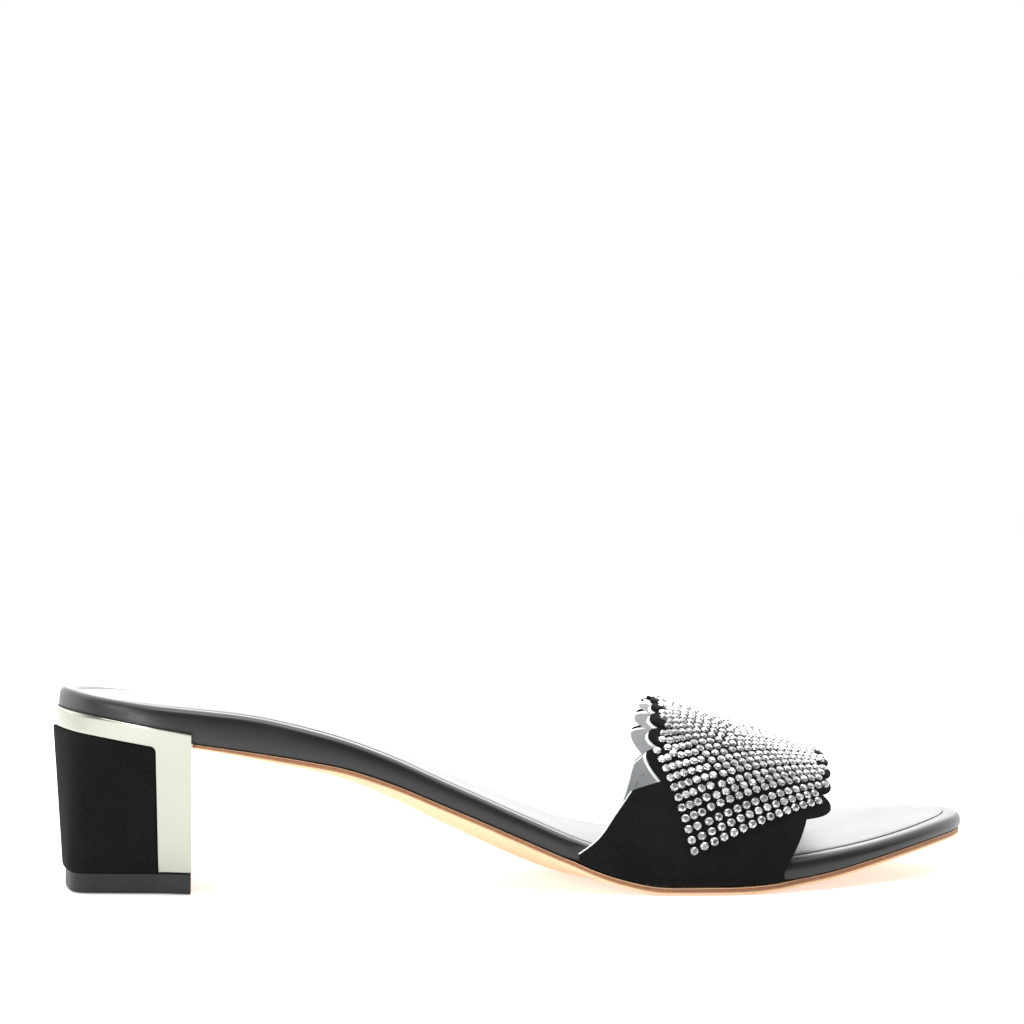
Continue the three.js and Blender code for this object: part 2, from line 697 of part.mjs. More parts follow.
// Rows down one side, then round the footbed's lower edge and in under it. The pocket,
// which is the same shape grown a little, runs out through the underside
function sideRows(sign, grow, reach) {
  const name = sign < 0 ? "outer" : "inner";
  const rows = [];
  for (let k = 1; k <= SIDE_ROWS; k += 1) {
    const down = k / SIDE_ROWS;
    const back = column(SIDE_EDGES, `${name}Back`, down, "down");
    const front = column(SIDE_EDGES, `${name}Front`, down, "down");
    rows.push(
      columns(back - grow, front + grow).map((edge) => {
        const side = LOWEST_FINGER + (sideLength(edge, sign) - LOWEST_FINGER) * down;
        return [place(edge, sign * side, grow), place(edge, sign * side, -STRAP_THICK - grow)];
      }),
    );
  }
  const last = rows.at(-1);
  const floor = (p) => bottomAt(p.x, p.y) + MARGIN_LIFT;
  const sink = 4 * grow;
  const corner = last.map(([out, into]) => {
    const low = new THREE.Vector3(out.x, out.y - sign * CORNER_ROUND, 0);
    low.z = floor(low) - sink;
    const high = new THREE.Vector3(into.x, into.y - sign * INNER_ROUND, 0);
    high.z = floor(high) + MARGIN_THICK + grow;
    return [low, high];
  });
  const under = (far) =>
    last.map(([out]) => {
      const y = out.y - sign * (far + STRAP_THICK);
      const low = new THREE.Vector3(out.x, y, floor({ x: out.x, y }) - sink);
      return [low, low.clone().setZ(low.z + sink + MARGIN_THICK + grow)];
    });
  return [...rows, corner, under(reach * 0.45), under(reach)];
}
// The strap as one sheet of rows, from under the outer side over the foot to the inner
function strapShell(grow, reach) {
  const over = fingerRows();
  const sidesOf = [...over.slice(1).reverse().map((v) => -v), ...over];
  const rows = [
    ...sideRows(-1, grow, reach).reverse(),
    ...sidesOf.map((side) => overRow(side, grow)),
    ...sideRows(1, grow, reach),
  ];
  const s = new Shell();
  const put = (p) => s.point(p.x, p.y, p.z);
  const outside = rows.map((row) => row.map(([p]) => put(p)));
  const inside = rows.map((row) => row.map(([, p]) => put(p)));
  const last = STRAP_COLUMNS;
  rows.slice(1).forEach((_, i) => {
    for (let k = 0; k < last; k += 1) {
      s.quad(outside[i][k], outside[i][k + 1], outside[i + 1][k + 1], outside[i + 1][k]);
      s.quad(inside[i][k], inside[i + 1][k], inside[i + 1][k + 1], inside[i][k + 1]);
    }
    s.quad(outside[i][0], outside[i + 1][0], inside[i + 1][0], inside[i][0]);
    s.quad(outside[i][last], inside[i][last], inside[i + 1][last], outside[i + 1][last]);
  });
  for (let k = 0; k < last; k += 1) {
    const end = rows.length - 1;
    s.quad(outside[0][k], inside[0][k], inside[0][k + 1], outside[0][k + 1]);
    s.quad(outside[end][k], outside[end][k + 1], inside[end][k + 1], inside[end][k]);
  }
  return s;
}

// One band of stones between its own line and the next, bent at the corner
function bandShell(line, next, sign) {
  const s = new Shell();
  const steps = 8;
  const path = (of, t) => {
    const [from, to] = t <= 1 ? [of.back, of.corner] : [of.corner, of.front];
    const f = t <= 1 ? t : t - 1;
    return [from[0] + (to[0] - from[0]) * f, from[1] + (to[1] - from[1]) * f];
  };
  const sections = Array.from({ length: 2 * steps + 1 }, (_, i) => {
    const t = i / steps;
    const a = path(line, t);
    const b = path(next, t);
    b[1] += BAND_SPACE * (t <= 1 ? 1.5 : 1.15);
    const mid = [(a[0] + b[0]) / 2, (a[1] + b[1]) / 2];
    const at = ([edge, side], raise) => {
      const p = place(edge, sign * side, raise);
      return s.point(p.x, p.y, p.z);
    };
    const low = [a, mid, b].map((c) => at(c, GAP));
    const high = [a, mid, b].map((c) => at(c, GAP + BAND_THICK));
    const loop = [low[0], low[1], low[2], high[2], high[1], high[0]];
    return sign < 0 ? loop : loop.reverse();
  });
  sections.slice(1).forEach((section, i) => s.wall(sections[i], section));
  const close = ([a, b, c, d, e, f], up) => {
    if (up) {
      s.quad(a, b, e, f);
      s.quad(b, c, d, e);
    } else {
      s.quad(f, e, b, a);
      s.quad(e, d, c, b);
    }
  };
  close(sections[0], false);
  close(sections.at(-1), true);
  return s;
}

const shoe = new THREE.Group();
function add(name, geometry, slot) {
  geometry.computeVertexNormals();
  const material = new THREE.MeshStandardMaterial(MATERIALS[slot]);
  const mesh = new THREE.Mesh(geometry, material);
  mesh.name = name;
  shoe.add(mesh);
}

// Sole pieces
add("outsole", outsoleShell().geometry(), "outsole");
const pocket = strapShell(GAP, MARGIN_LONG + 3 * GAP).solid();
add("footbed", geometryOf(footbedShell().solid().subtract(pocket)), "footbed");
add("insole_sock", sockShell().geometry(), "sock");

// Strap and its bands of stones
add("upper", strapShell(0, MARGIN_LONG).geometry(), "suede");
BAND_LINES.slice(0, -1).forEach((line, i) => {
  add(`outer_band_${i + 1}`, bandShell(line, BAND_LINES[i + 1], -1).geometry(), "stones");
  add(`inner_band_${i + 1}`, bandShell(line, BAND_LINES[i + 1], 1).geometry(), "stones");
});

// Heel: plated frame with a recess for the suede cover, and the rubber top lift
const legPart = LEG_WIDE / heelTop.total;
const bandLow = (part) => rimHeight(part) - BAND_HIGH;
const recess = heelWrap(
  legPart,
  1 - legPart,
  () => heelBase - 2,
  (part) => bandLow(part),
  -2,
  COVER_THICK - COVER_PROUD + GAP,
).solid();
const coverGap = GAP / heelTop.total;
const cover = heelWrap(
  legPart + coverGap,
  1 - legPart - coverGap,
  () => heelBase,
  (part) => bandLow(part) - GAP,
  -COVER_PROUD,
  COVER_THICK - COVER_PROUD,
);
const frame = heelBlock().subtract(heelCup()).subtract(recess);
add("heel_frame", geometryOf(frame), "plate");
add("heel_cover", cover.geometry(), "suede");

function liftShell() {
  const s = new Shell();
  const round = (depth, z) =>
    heelParts.map((part) => {
      const p = heelPoint(part, heelBase, depth);
      return s.point(Math.min(p.x, BREAST - depth), p.y, z);
    });
  const rings = [round(0.8, 0), round(LIFT_INSET, 0.6), round(LIFT_INSET, LIFT_HIGH)];
  const turned = rings.map((r) => [...r].reverse());
  turned.slice(1).forEach((high, i) => s.wall(turned[i], high));
  s.cap(turned[0], heelRows, () => 0, 2, false);
  s.cap(turned.at(-1), heelRows, () => LIFT_HIGH, 2, true);
  return s;
}
add("top_lift", liftShell().geometry(), "rubber");

// The shoe is set with the middle of its box over the origin and its sole on the floor
const box = new THREE.Box3().setFromObject(shoe);
shoe.position.set(-(box.min.x + box.max.x) / 2, -(box.min.y + box.max.y) / 2, -box.min.z);
shoe.updateMatrixWorld(true);

export default shoe;
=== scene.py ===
import bisect
import math
import random

import bmesh
import bpy
from mathutils import Matrix, Vector


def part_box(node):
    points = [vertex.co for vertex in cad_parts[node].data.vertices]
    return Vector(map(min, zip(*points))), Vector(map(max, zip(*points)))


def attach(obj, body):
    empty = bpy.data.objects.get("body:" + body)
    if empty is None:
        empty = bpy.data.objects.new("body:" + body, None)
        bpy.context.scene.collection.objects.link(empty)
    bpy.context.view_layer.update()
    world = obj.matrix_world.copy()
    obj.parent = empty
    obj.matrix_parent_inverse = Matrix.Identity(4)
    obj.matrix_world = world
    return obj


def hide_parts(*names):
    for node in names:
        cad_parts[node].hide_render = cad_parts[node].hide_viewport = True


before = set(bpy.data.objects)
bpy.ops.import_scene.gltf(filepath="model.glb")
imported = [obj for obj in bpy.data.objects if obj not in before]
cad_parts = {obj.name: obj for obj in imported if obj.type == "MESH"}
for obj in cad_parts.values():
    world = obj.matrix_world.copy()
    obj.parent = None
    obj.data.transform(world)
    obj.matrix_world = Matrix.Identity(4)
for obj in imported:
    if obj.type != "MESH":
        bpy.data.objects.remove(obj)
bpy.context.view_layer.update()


# Camera. A level look at the outer side of the shoe from a little above the strap, turned
# slightly towards the toe, through a long lens that keeps heel and toe at nearly one scale.
LENS = 79.52
LENS_PLACE = (-0.0857, -0.5928, 0.0957)
LENS_TURN = math.radians(-8)

lens = bpy.data.cameras.new("lens")
lens.lens = LENS
lens.sensor_width = 36
camera = bpy.data.objects.new("camera", lens)
camera.location = LENS_PLACE
camera.rotation_euler = (math.radians(90), 0, LENS_TURN)
bpy.context.scene.collection.objects.link(camera)
bpy.context.scene.camera = camera


# Floor and studio light. A white card lies under the shoe in a white room, and three large
# soft boxes light it: overhead, low behind it and at the heel. A small one with a narrow
# spread lights the strap's lining. The room is dimmer in front, to keep the contrast.
class Channel:
    """One socket of a finish. Arithmetic on it adds Math nodes"""

    def __init__(self, finish, socket):
        self.finish = finish
        self.socket = socket

    def work(self, operation, *values):
        return self.finish.node("ShaderNodeMath", {"operation": operation}, dict(enumerate(values)))

    def __add__(self, other):
        return self.work("ADD", self, other)

    def __sub__(self, other):
        return self.work("SUBTRACT", self, other)

    def __rsub__(self, other):
        return self.work("SUBTRACT", other, self)

    def __mul__(self, other):
        return self.work("MULTIPLY", self, other)

    __radd__ = __add__
    __rmul__ = __mul__


class Finish:
    """The node material of one of the shoe's finishes"""

    def __init__(self, owner):
        owner.use_nodes = True
        self.owner = owner
        self.tree = owner.node_tree
        self.tree.nodes.clear()

    def node(self, kind, settings, sockets, out=0):
        made = self.tree.nodes.new(kind)
        for name, value in settings.items():
            if name == "stops":
                self.set_stops(made.color_ramp, value)
            else:
                setattr(made, name, value)
        for name, value in sockets.items():
            if isinstance(value, Channel):
                self.tree.links.new(value.socket, made.inputs[name])
            else:
                made.inputs[name].default_value = value
        return Channel(self, made.outputs[out]) if made.outputs else None

    def set_stops(self, ramp, stops):
        while len(ramp.elements) < len(stops):
            ramp.elements.new(1)
        for element, (place, colour) in zip(ramp.elements, stops):
            element.position = place
            element.color = colour

    def object_place(self):
        return self.node("ShaderNodeTexCoord", {}, {}, "Object")

    def noise(self, place, scale, detail=2, roughness=0.5):
        sizes = {"Vector": place, "Scale": scale, "Detail": detail, "Roughness": roughness}
        return self.node("ShaderNodeTexNoise", {}, sizes)

    def cells(self, place, scale, feature="F1"):
        sizes = {"Vector": place, "Scale": scale}
        return self.node("ShaderNodeTexVoronoi", {"feature": feature}, sizes)

    def ramp(self, value, *stops):
        return self.node("ShaderNodeValToRGB", {"stops": stops}, {"Fac": value})

    def step(self, value, low, high):
        """0 below low, 1 above high, smooth between"""
        ends = {"Value": value, "From Min": low, "From Max": high}
        return self.node("ShaderNodeMapRange", {"interpolation_type": "SMOOTHSTEP"}, ends)

    def blend(self, share, one, two):
        """Colour one where share is 0, colour two where it is 1"""
        return self.node(
            "ShaderNodeMix", {"data_type": "RGBA"}, {"Factor": share, 6: one, 7: two}, 2
        )

    def attribute(self, name):
        return self.node("ShaderNodeAttribute", {"attribute_name": name}, {}, "Fac")

    def bump(self, height, strength, distance, under=None):
        sockets = {"Height": height, "Strength": strength, "Distance": distance}
        if under:
            sockets["Normal"] = under
        return self.node("ShaderNodeBump", {}, sockets)

    def surface(self, sockets):
        shader = self.node("ShaderNodeBsdfPrincipled", {}, sockets)
        self.node("ShaderNodeOutputMaterial", {}, {"Surface": shader})


ROOM_WHITE = (1, 1, 1, 1)
ROOM_BEHIND = 2.5
ROOM_FRONT = 0.26
CARD_GLOW = 0.4
CARD_HALF = 6
CARD_DROP = 0.0002
SOFT_BOXES = (  # name, place, aim, size, watts, spread in degrees
    ("overhead_box", (0.05, -0.1, 0.85), (0.02, 0, 0.02), (0.7, 0.4), 5.5, 180),
    ("back_box", (0.2, 0.75, 0.35), (0.05, 0, 0.03), (0.9, 0.25), 2.4, 180),
    ("heel_box", (-0.7, -0.45, 0.4), (-0.05, 0, 0.03), (0.3, 0.4), 2.2, 180),
    ("throat_box", (-0.32, -0.34, 0.06), (0.05, 0.02, 0.03), (0.12, 0.1), 0.035, 40),
)

room = Finish(bpy.data.worlds.new("white_room"))
bpy.context.scene.world = room.owner
towards = room.node("ShaderNodeTexCoord", {}, {}, "Generated")
depthwise = room.node("ShaderNodeSeparateXYZ", {}, {"Vector": towards}, "Y")
room_light = ROOM_FRONT + room.step(depthwise, -0.3, 0.5) * (ROOM_BEHIND - ROOM_FRONT)
seen = room.node("ShaderNodeLightPath", {}, {}, "Is Camera Ray")
shown_light = seen + (1 - seen) * room_light
glow = room.node("ShaderNodeBackground", {}, {"Color": ROOM_WHITE, "Strength": shown_light})
room.node("ShaderNodeOutputWorld", {}, {"Surface": glow})

card = Finish(bpy.data.materials.new("white_card"))
fleck = card.noise(card.object_place(), 140, 3)
card.surface(
    {
        "Base Color": card.blend(fleck, (0.84, 0.84, 0.84, 1), (0.88, 0.88, 0.88, 1)),
        "Roughness": 0.85,
        "Specular IOR Level": 0.2,
        "Emission Color": ROOM_WHITE,
        "Emission Strength": CARD_GLOW,
    }
)
bm = bmesh.new()
bmesh.ops.create_grid(bm, x_segments=4, y_segments=4, size=CARD_HALF)
bmesh.ops.translate(bm, vec=(0, 0, -CARD_DROP), verts=bm.verts)
card_mesh = bpy.data.meshes.new("floor_card")
bm.to_mesh(card_mesh)
bm.free()
card_mesh.materials.append(card.owner)
floor_card = bpy.data.objects.new("floor_card", card_mesh)
bpy.context.scene.collection.objects.link(floor_card)


def soft_box(name, place, aim, size, power, spread):
    data = bpy.data.lights.new(name, "AREA")
    data.shape = "RECTANGLE"
    data.size, data.size_y = size
    data.energy = power
    data.spread = math.radians(spread)
    box = bpy.data.objects.new(name, data)
    box.location = place
    box.rotation_euler = (Vector(aim) - Vector(place)).to_track_quat("-Z", "Y").to_euler()
    bpy.context.scene.collection.objects.link(box)


for box in SOFT_BOXES:
    soft_box(*box)
bpy.context.scene.view_settings.view_transform = "Standard"


# Outsole. One piece of tan leather from the heel breast to the toe, skived thin at the
# breast, its edge cut square, rounded over and inked a darker brown. It is cemented on
# last in life, over the turned-under edge of the strap. It lies flat under the ball.
OUTLINE = (  # x, outer side, inner side
    (1.2, 0, 0),
    (3.9, -8.8, 8.8),
    (10.6, -17.6, 17.1),
    (22, -23.8, 22.8),
    (38, -26.3, 25.0),
    (60, -26.0, 23.8),
    (85, -24.8, 21.5),
    (105, -26.4, 21.8),
    (125, -31.0, 25.0),
    (142, -37.0, 30.8),
    (160, -40.8, 36.2),
    (176, -41.2, 38.5),
    (191, -38.4, 38.2),
    (206, -33.0, 35.2),
    (219, -26.2, 29.8),
    (230, -18.2, 22.9),
    (238, -9.8, 15.2),
    (241.7, -3.2, 9.0),
    (243, 2.8, 2.8),
)
PROFILE = (  # x, feather edge, top edge, belly of the underside
    (0, 43.6, 51.6, 0),
    (12, 41.9, 49.4, 0),
    (25, 39.7, 47.5, 0),
    (36, 37.8, 46.3, 0),
    (50, 35.6, 44.4, 0.8),
    (62, 33.5, 41.6, 1.6),
    (74, 30.9, 38.0, 2.5),
    (86, 26.8, 33.3, 3.5),
    (97, 22.1, 28.2, 4.3),
    (109, 17.0, 22.8, 5.0),
    (120, 12.2, 17.9, 5.2),
    (130, 7.9, 13.6, 4.3),
    (137, 5.1, 11.2, 2.3),
    (144, 3.1, 9.4, 0.9),
    (151, 1.9, 8.0, 0.1),
    (162, 1.85, 7.4, 0),
    (173, 1.9, 7.4, 0.1),
    (184, 2.7, 8.1, 0.3),
    (196, 4.2, 9.2, 0.5),
    (208, 6.3, 10.5, 0.7),
    (219, 8.2, 12.0, 0.7),
    (231, 9.8, 13.7, 0.5),
    (243, 10.6, 14.9, 0.3),
)
HEEL_DISH = 0.9
DISH_END = 70
OUTSOLE_THICK = 1.6
OUTSOLE_BACK = 35.7
OUTSOLE_INSET = 0.5
OUTSOLE_GAP = 0.06
OUTSOLE_FULLER = 0.24  # thicker than the solid, up to the footbed
OUTSOLE_LAP = 0.4  # runs on to the breast
OUTSOLE_EDGE = ((0, 0.9), (0, 0.6), (0, 0.35), (0.12, 0.12))  # drawn in, share of the way up
STRAP_BUMP = 0.9
STRAP_LANDS = {-1: (124, 134, 180, 190), 1: (141, 151, 198, 208)}  # starts, full, leaves, ends
WIDENS_WITHIN = 3
SKIVE_SHARE = 0.4
SKIVE_LONG = 25
PLAN_GRID = (120, 44)
PLAN_STEPS = 720
PLAN_RUN = 0.02  # radians
MERGE_WITHIN = 0.0004
SHARP_TURN = math.radians(38)

MM = 0.001
BREAST = 35.2
HEEL_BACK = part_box("heel_frame")[1].x - BREAST * MM
FOOT_LINE = 0.001271


def column(rows, place, x):
    """Smooth value of one column of a table at x"""
    x = min(max(x, rows[0][0]), rows[-1][0])
    i = min(max(bisect.bisect_left([row[0] for row in rows], x) - 1, 0), len(rows) - 2)

    def slope(k):
        a = rows[max(k - 1, 0)]
        b = rows[min(k + 1, len(rows) - 1)]
        return (b[place] - a[place]) / (b[0] - a[0])

    wide = rows[i + 1][0] - rows[i][0]
    t = (x - rows[i][0]) / wide
    h = t * t * (3 - 2 * t)
    bend = (1 - t) ** 2 * t * slope(i) - t * t * (1 - t) * slope(i + 1)
    return rows[i][place] * (1 - h) + rows[i + 1][place] * h + bend * wide


def smooth(x, low, high):
    t = min(max((x - low) / (high - low), 0), 1)
    return t * t * (3 - 2 * t)


class Plan:
    """A closed plan outline, smooth through a table's rows"""

    def __init__(self, rows):
        outer = [Vector((x, y)) for x, y, _ in rows]
        inner = [Vector((x, y)) for x, _, y in rows[1:-1]]
        corners = outer + inner[::-1]
        count = len(corners)
        self.loop = []
        for step in range(PLAN_STEPS):
            i, t = divmod(count * step / PLAN_STEPS, 1)
            a, b, c, d = (corners[(int(i) + k) % count] for k in (-1, 0, 1, 2))
            ab, bc, cd = ((q - p).length ** 0.5 for p, q in ((a, b), (b, c), (c, d)))
            leave = ((b - a) / ab - (c - a) / (ab + bc) + (c - b) / bc) * bc
            reach = ((c - b) / bc - (d - b) / (bc + cd) + (d - c) / cd) * bc
            square = 3 * (c - b) - 2 * leave - reach
            self.loop.append(b + leave * t + square * t**2 + (2 * (b - c) + leave + reach) * t**3)
        self.tip = max(self.loop, key=lambda p: p.x)
        self.heel = min(self.loop, key=lambda p: p.x)
        turn = self.loop.index(self.tip)
        self.halves = {-1: self.loop[: turn + 1], 1: self.loop[:1] + self.loop[turn:][::-1]}
        self.stops = {sign: [p.x for p in half] for sign, half in self.halves.items()}

    def side(self, x, sign):
        half = self.halves[sign]
        i = min(max(bisect.bisect_left(self.stops[sign], x), 1), len(half) - 1)
        a, b = half[i - 1], half[i]
        t = min(max((x - a.x) / max(b.x - a.x, 1e-6), 0), 1)
        return a.y + (b.y - a.y) * t


foot = Plan(OUTLINE)
sides = [(x, foot.side(x, -1), foot.side(x, 1)) for x in range(244)]


def feather(x):
    return column(PROFILE, 1, x)


def top_edge(x):
    return column(PROFILE, 2, x)


def crown(x, y):
    """1 on the middle line of the foot, 0 on its edges"""
    outer, inner = column(sides, 1, x), column(sides, 2, x)
    across = 2 * (y - outer) / max(inner - outer, 1) - 1
    return max(1 - across * across, 0)


def bottom_at(x, y):
    return feather(x) - column(PROFILE, 3, x) * crown(x, y)


def top_at(x, y):
    return top_edge(x) - HEEL_DISH * max(1 - x / DISH_END, 0) * crown(x, y)


def edge_place(turn):
    """Point of the foot's outline at an angle round its middle"""
    half = (foot.tip.x - foot.heel.x) / 2
    x = foot.heel.x + half * (1 + math.cos(turn))
    return Vector((x, foot.side(x, -1 if math.sin(turn) < 0 else 1)))


def plan_spot(u, v, drawn_in):
    """Place on the foot's plan of a grid spot, u along and v across, drawn in from the edge"""
    along = u * math.sqrt(1 - v * v / 2)
    across = v * math.sqrt(1 - u * u / 2)
    x = foot.heel.x + (foot.tip.x - foot.heel.x) * (1 + along) / 2
    share = across / math.sqrt(max(1 - along * along, 1e-9))
    outer, inner = foot.side(x, -1), foot.side(x, 1)
    spot = Vector((x, (outer + inner) / 2 + (inner - outer) / 2 * share))
    far = along * along + across * across
    if far > 0:
        turn = math.atan2(across, along)
        run = (edge_place(turn + PLAN_RUN) - edge_place(turn - PLAN_RUN)).normalized()
        by = drawn_in(spot.x, -1 if across < 0 else 1) if callable(drawn_in) else drawn_in
        spot -= Vector((run.y, -run.x)) * by * far
    return spot


def sheet(segments, top, border, bottom):
    """A closed sheet: a grid laid by top, carried round its border, closed by bottom"""
    bm = bmesh.new()
    spot = bm.verts.layers.float_vector.new("spot")
    rim = bm.verts.layers.float.new("rim")
    bmesh.ops.create_grid(bm, x_segments=segments[0], y_segments=segments[1], size=1)
    for vert in bm.verts:
        vert[spot] = vert.co
    every = bm.verts[:] + bm.edges[:] + bm.faces[:]
    edges = [edge for edge in bm.edges if edge.is_boundary]
    under = bmesh.ops.duplicate(bm, geom=every)["geom"]
    low = {vert for vert in under if isinstance(vert, bmesh.types.BMVert)}
    for vert in bm.verts:
        vert.co = (bottom if vert in low else top)(*vert[spot].xy)
    rings = list(border) + [bottom]
    for number, ring in enumerate(rings):
        made = bmesh.ops.extrude_edge_only(bm, edges=edges)["geom"]
        edges = [e for e in made if isinstance(e, bmesh.types.BMEdge) and e.is_boundary]
        for vert in {vert for edge in edges for vert in edge.verts}:
            vert.co = ring(*vert[spot].xy)
            vert[rim] = 1 - number / (len(rings) - 1)
    bmesh.ops.remove_doubles(bm, verts=bm.verts, dist=MERGE_WITHIN)
    bmesh.ops.recalc_face_normals(bm, faces=bm.faces)
    return bm


def set_piece(bm, name, finish, nodes, levels=0):
    """Makes the object, sets it in the frame and gives it its finish"""
    bmesh.ops.scale(bm, vec=(MM, MM, MM), verts=bm.verts)
    bmesh.ops.translate(bm, vec=(HEEL_BACK, FOOT_LINE, 0), verts=bm.verts)
    for face in bm.faces:
        face.smooth = True
    for edge in bm.edges:
        edge.smooth = edge.calc_face_angle(0) < SHARP_TURN
    mesh = bpy.data.meshes.new(name)
    bm.to_mesh(mesh)
    bm.free()
    mesh.materials.append(finish.owner)
    piece = bpy.data.objects.new(name, mesh)
    bpy.context.scene.collection.objects.link(piece)
    if levels:
        smoother = piece.modifiers.new("smoother", "SUBSURF")
        smoother.levels = levels
        smoother.render_levels = levels
    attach(piece, "root")
    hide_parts(*nodes)
    return piece


def sole_inset(x, sign):
    start, full, leave, end = STRAP_LANDS[sign]
    under_strap = smooth(x, start + WIDENS_WITHIN, full) - smooth(x, leave, end - WIDENS_WITHIN)
    return OUTSOLE_INSET - (STRAP_BUMP + OUTSOLE_INSET) * under_strap


def sole_layer(more, lift):
    """Outsole surface drawn in by more; lift is 0 on its underside and 1 on its top"""

    def place(u, v):
        x, y = plan_spot(u, v, lambda x, sign: sole_inset(x, sign) + more)
        skive = 1 - SKIVE_SHARE * (1 - smooth(x, OUTSOLE_BACK, OUTSOLE_BACK + SKIVE_LONG))
        high = bottom_at(x, y) - OUTSOLE_GAP
        low = max(high - (OUTSOLE_THICK + OUTSOLE_FULLER) * skive, 0)
        return Vector((x, y, low + (high - low) * lift))

    return place


tan_leather = Finish(bpy.data.materials.new("tan_leather"))
place = tan_leather.object_place()
fibre = tan_leather.noise(place, 900, 4, 0.6)
cloud = tan_leather.noise(place, 60, 3)
tone = tan_leather.blend(cloud * 0.7 + fibre * 0.3, (0.72, 0.43, 0.25, 1), (0.92, 0.64, 0.42, 1))
inked = tan_leather.attribute("rim")
inked_tone = tan_leather.blend(fibre, (0.17, 0.065, 0.03, 1), (0.36, 0.17, 0.08, 1))
tan_leather.surface(
    {
        "Base Color": tan_leather.blend(tan_leather.step(inked, 0.35, 0.7), tone, inked_tone),
        "Roughness": 0.5 + fibre * 0.22,
        "Specular IOR Level": 0.35,
        "Normal": tan_leather.bump(fibre, 0.25, 0.0002),
    }
)
bm = sheet(
    PLAN_GRID,
    sole_layer(0.05, 1),
    [sole_layer(more, lift) for more, lift in OUTSOLE_EDGE],
    sole_layer(0.4, 0),
)
cut = bmesh.ops.bisect_plane(
    bm,
    geom=bm.verts[:] + bm.edges[:] + bm.faces[:],
    plane_co=(OUTSOLE_BACK - OUTSOLE_LAP, 0, 0),
    plane_no=(-1, 0, 0),
    clear_outer=True,
)
cut_edges = [e for e in cut["geom_cut"] if isinstance(e, bmesh.types.BMEdge)]
bmesh.ops.holes_fill(bm, edges=cut_edges, sides=0)
bmesh.ops.recalc_face_normals(bm, faces=bm.faces)
set_piece(bm, "leather_outsole", tan_leather, ["outsole"])


# Heel frame. A straight block that narrows to its foot, moulded and plated a pale warm
# silver. Its rim cups the back of the footbed. A recess takes the suede cover and leaves
# a band under the rim and a leg down each side of the breast. It is screwed on from above.
RIM_WALL = 0.9
RIM_LAP = 2.6
RIM_GAP = 0.3
HEEL_FOOT = (  # x, outer side, inner side
    (2.7, 0, 0),
    (3.6, -8.5, 8.3),
    (5.2, -14.6, 14.2),
    (7.6, -16.9, 16.5),
    (14.5, -18.4, 17.9),
    (26, -20.4, 19.9),
    (44, -23.6, 23.1),
    (52, 0, 0),
)
HEEL_BASE = 5.3
BAND_HIGH = 5.0
LEG_WIDE = 9.2
COVER_THICK = 1.5
COVER_PROUD = 0.55
RECESS_DEEP = COVER_THICK - COVER_PROUD + 0.1
RECESS_ROUND = 1.2
BRINK_ROUND = 0.2
BRINK_TURN = 0.9  # radians
CORNER_WIDE = 0.5
CORNER_CUT = 0.12
LEG_COLUMNS = 9
BACK_COLUMNS = 72
BREAST_COLUMNS = 16


class HeelLine:
    """A plan line round the heel, from the outer breast corner to the inner one"""

    def __init__(self, plan, grow):
        count = len(plan.loop)
        grown = []
        for i, spot in enumerate(plan.loop):
            run = (plan.loop[(i + 1) % count] - plan.loop[i - 1]).normalized()
            grown.append(spot + Vector((run.y, -run.x)) * grow)
        half = count // 2
        order = [grown[i % count] for i in range(half, -half, -1)]
        first = next(i for i, spot in enumerate(order) if spot.x < BREAST)
        last = max(i for i, spot in enumerate(order) if spot.x < BREAST)
        self.spots = [self.cut(order[first - 1], order[first])]
        self.spots += order[first : last + 1]
        self.spots.append(self.cut(order[last + 1], order[last]))
        self.lengths = [0]
        for a, b in zip(self.spots, self.spots[1:]):
            self.lengths.append(self.lengths[-1] + (b - a).length)
        self.total = self.lengths[-1]

    def cut(self, a, b):
        return a.lerp(b, (BREAST - a.x) / (b.x - a.x))

    def at(self, part):
        want = self.total * min(max(part, 0), 1)
        i = min(max(bisect.bisect_left(self.lengths, want) - 1, 0), len(self.spots) - 2)
        t = (want - self.lengths[i]) / (self.lengths[i + 1] - self.lengths[i])
        return self.spots[i].lerp(self.spots[i + 1], t)


heel_top = HeelLine(foot, RIM_GAP + RIM_WALL)
heel_foot = HeelLine(Plan(HEEL_FOOT), 0)


def rim_high(part):
    return feather(heel_top.at(part).x) + RIM_LAP


def heel_point(part, z, depth):
    """Point on the heel's side at a part of the way round and a height, moved in by depth"""
    t = (z - HEEL_BASE) / (rim_high(part) - HEEL_BASE)
    spot, before, after = (
        heel_foot.at(p).lerp(heel_top.at(p), t) for p in (part, part - 0.01, part + 0.01)
    )
    run = (after - before).normalized()
    return Vector((spot.x + run.y * depth, spot.y - run.x * depth, z))


leg_part = LEG_WIDE / heel_top.total
corner_part = CORNER_WIDE / heel_top.total


def spread(start, end, steps):
    return [start + (end - start) * i / steps for i in range(steps)]


def recess_top(part):
    """Height of the recess's upper edge, which turns down into its ends on a small radius"""
    run = min(part - leg_part, 1 - leg_part - part) * heel_top.total
    short = RECESS_ROUND - min(max(run, 0), RECESS_ROUND)
    turned = RECESS_ROUND - math.sqrt(RECESS_ROUND**2 - short**2)
    return rim_high(part) - BAND_HIGH - turned


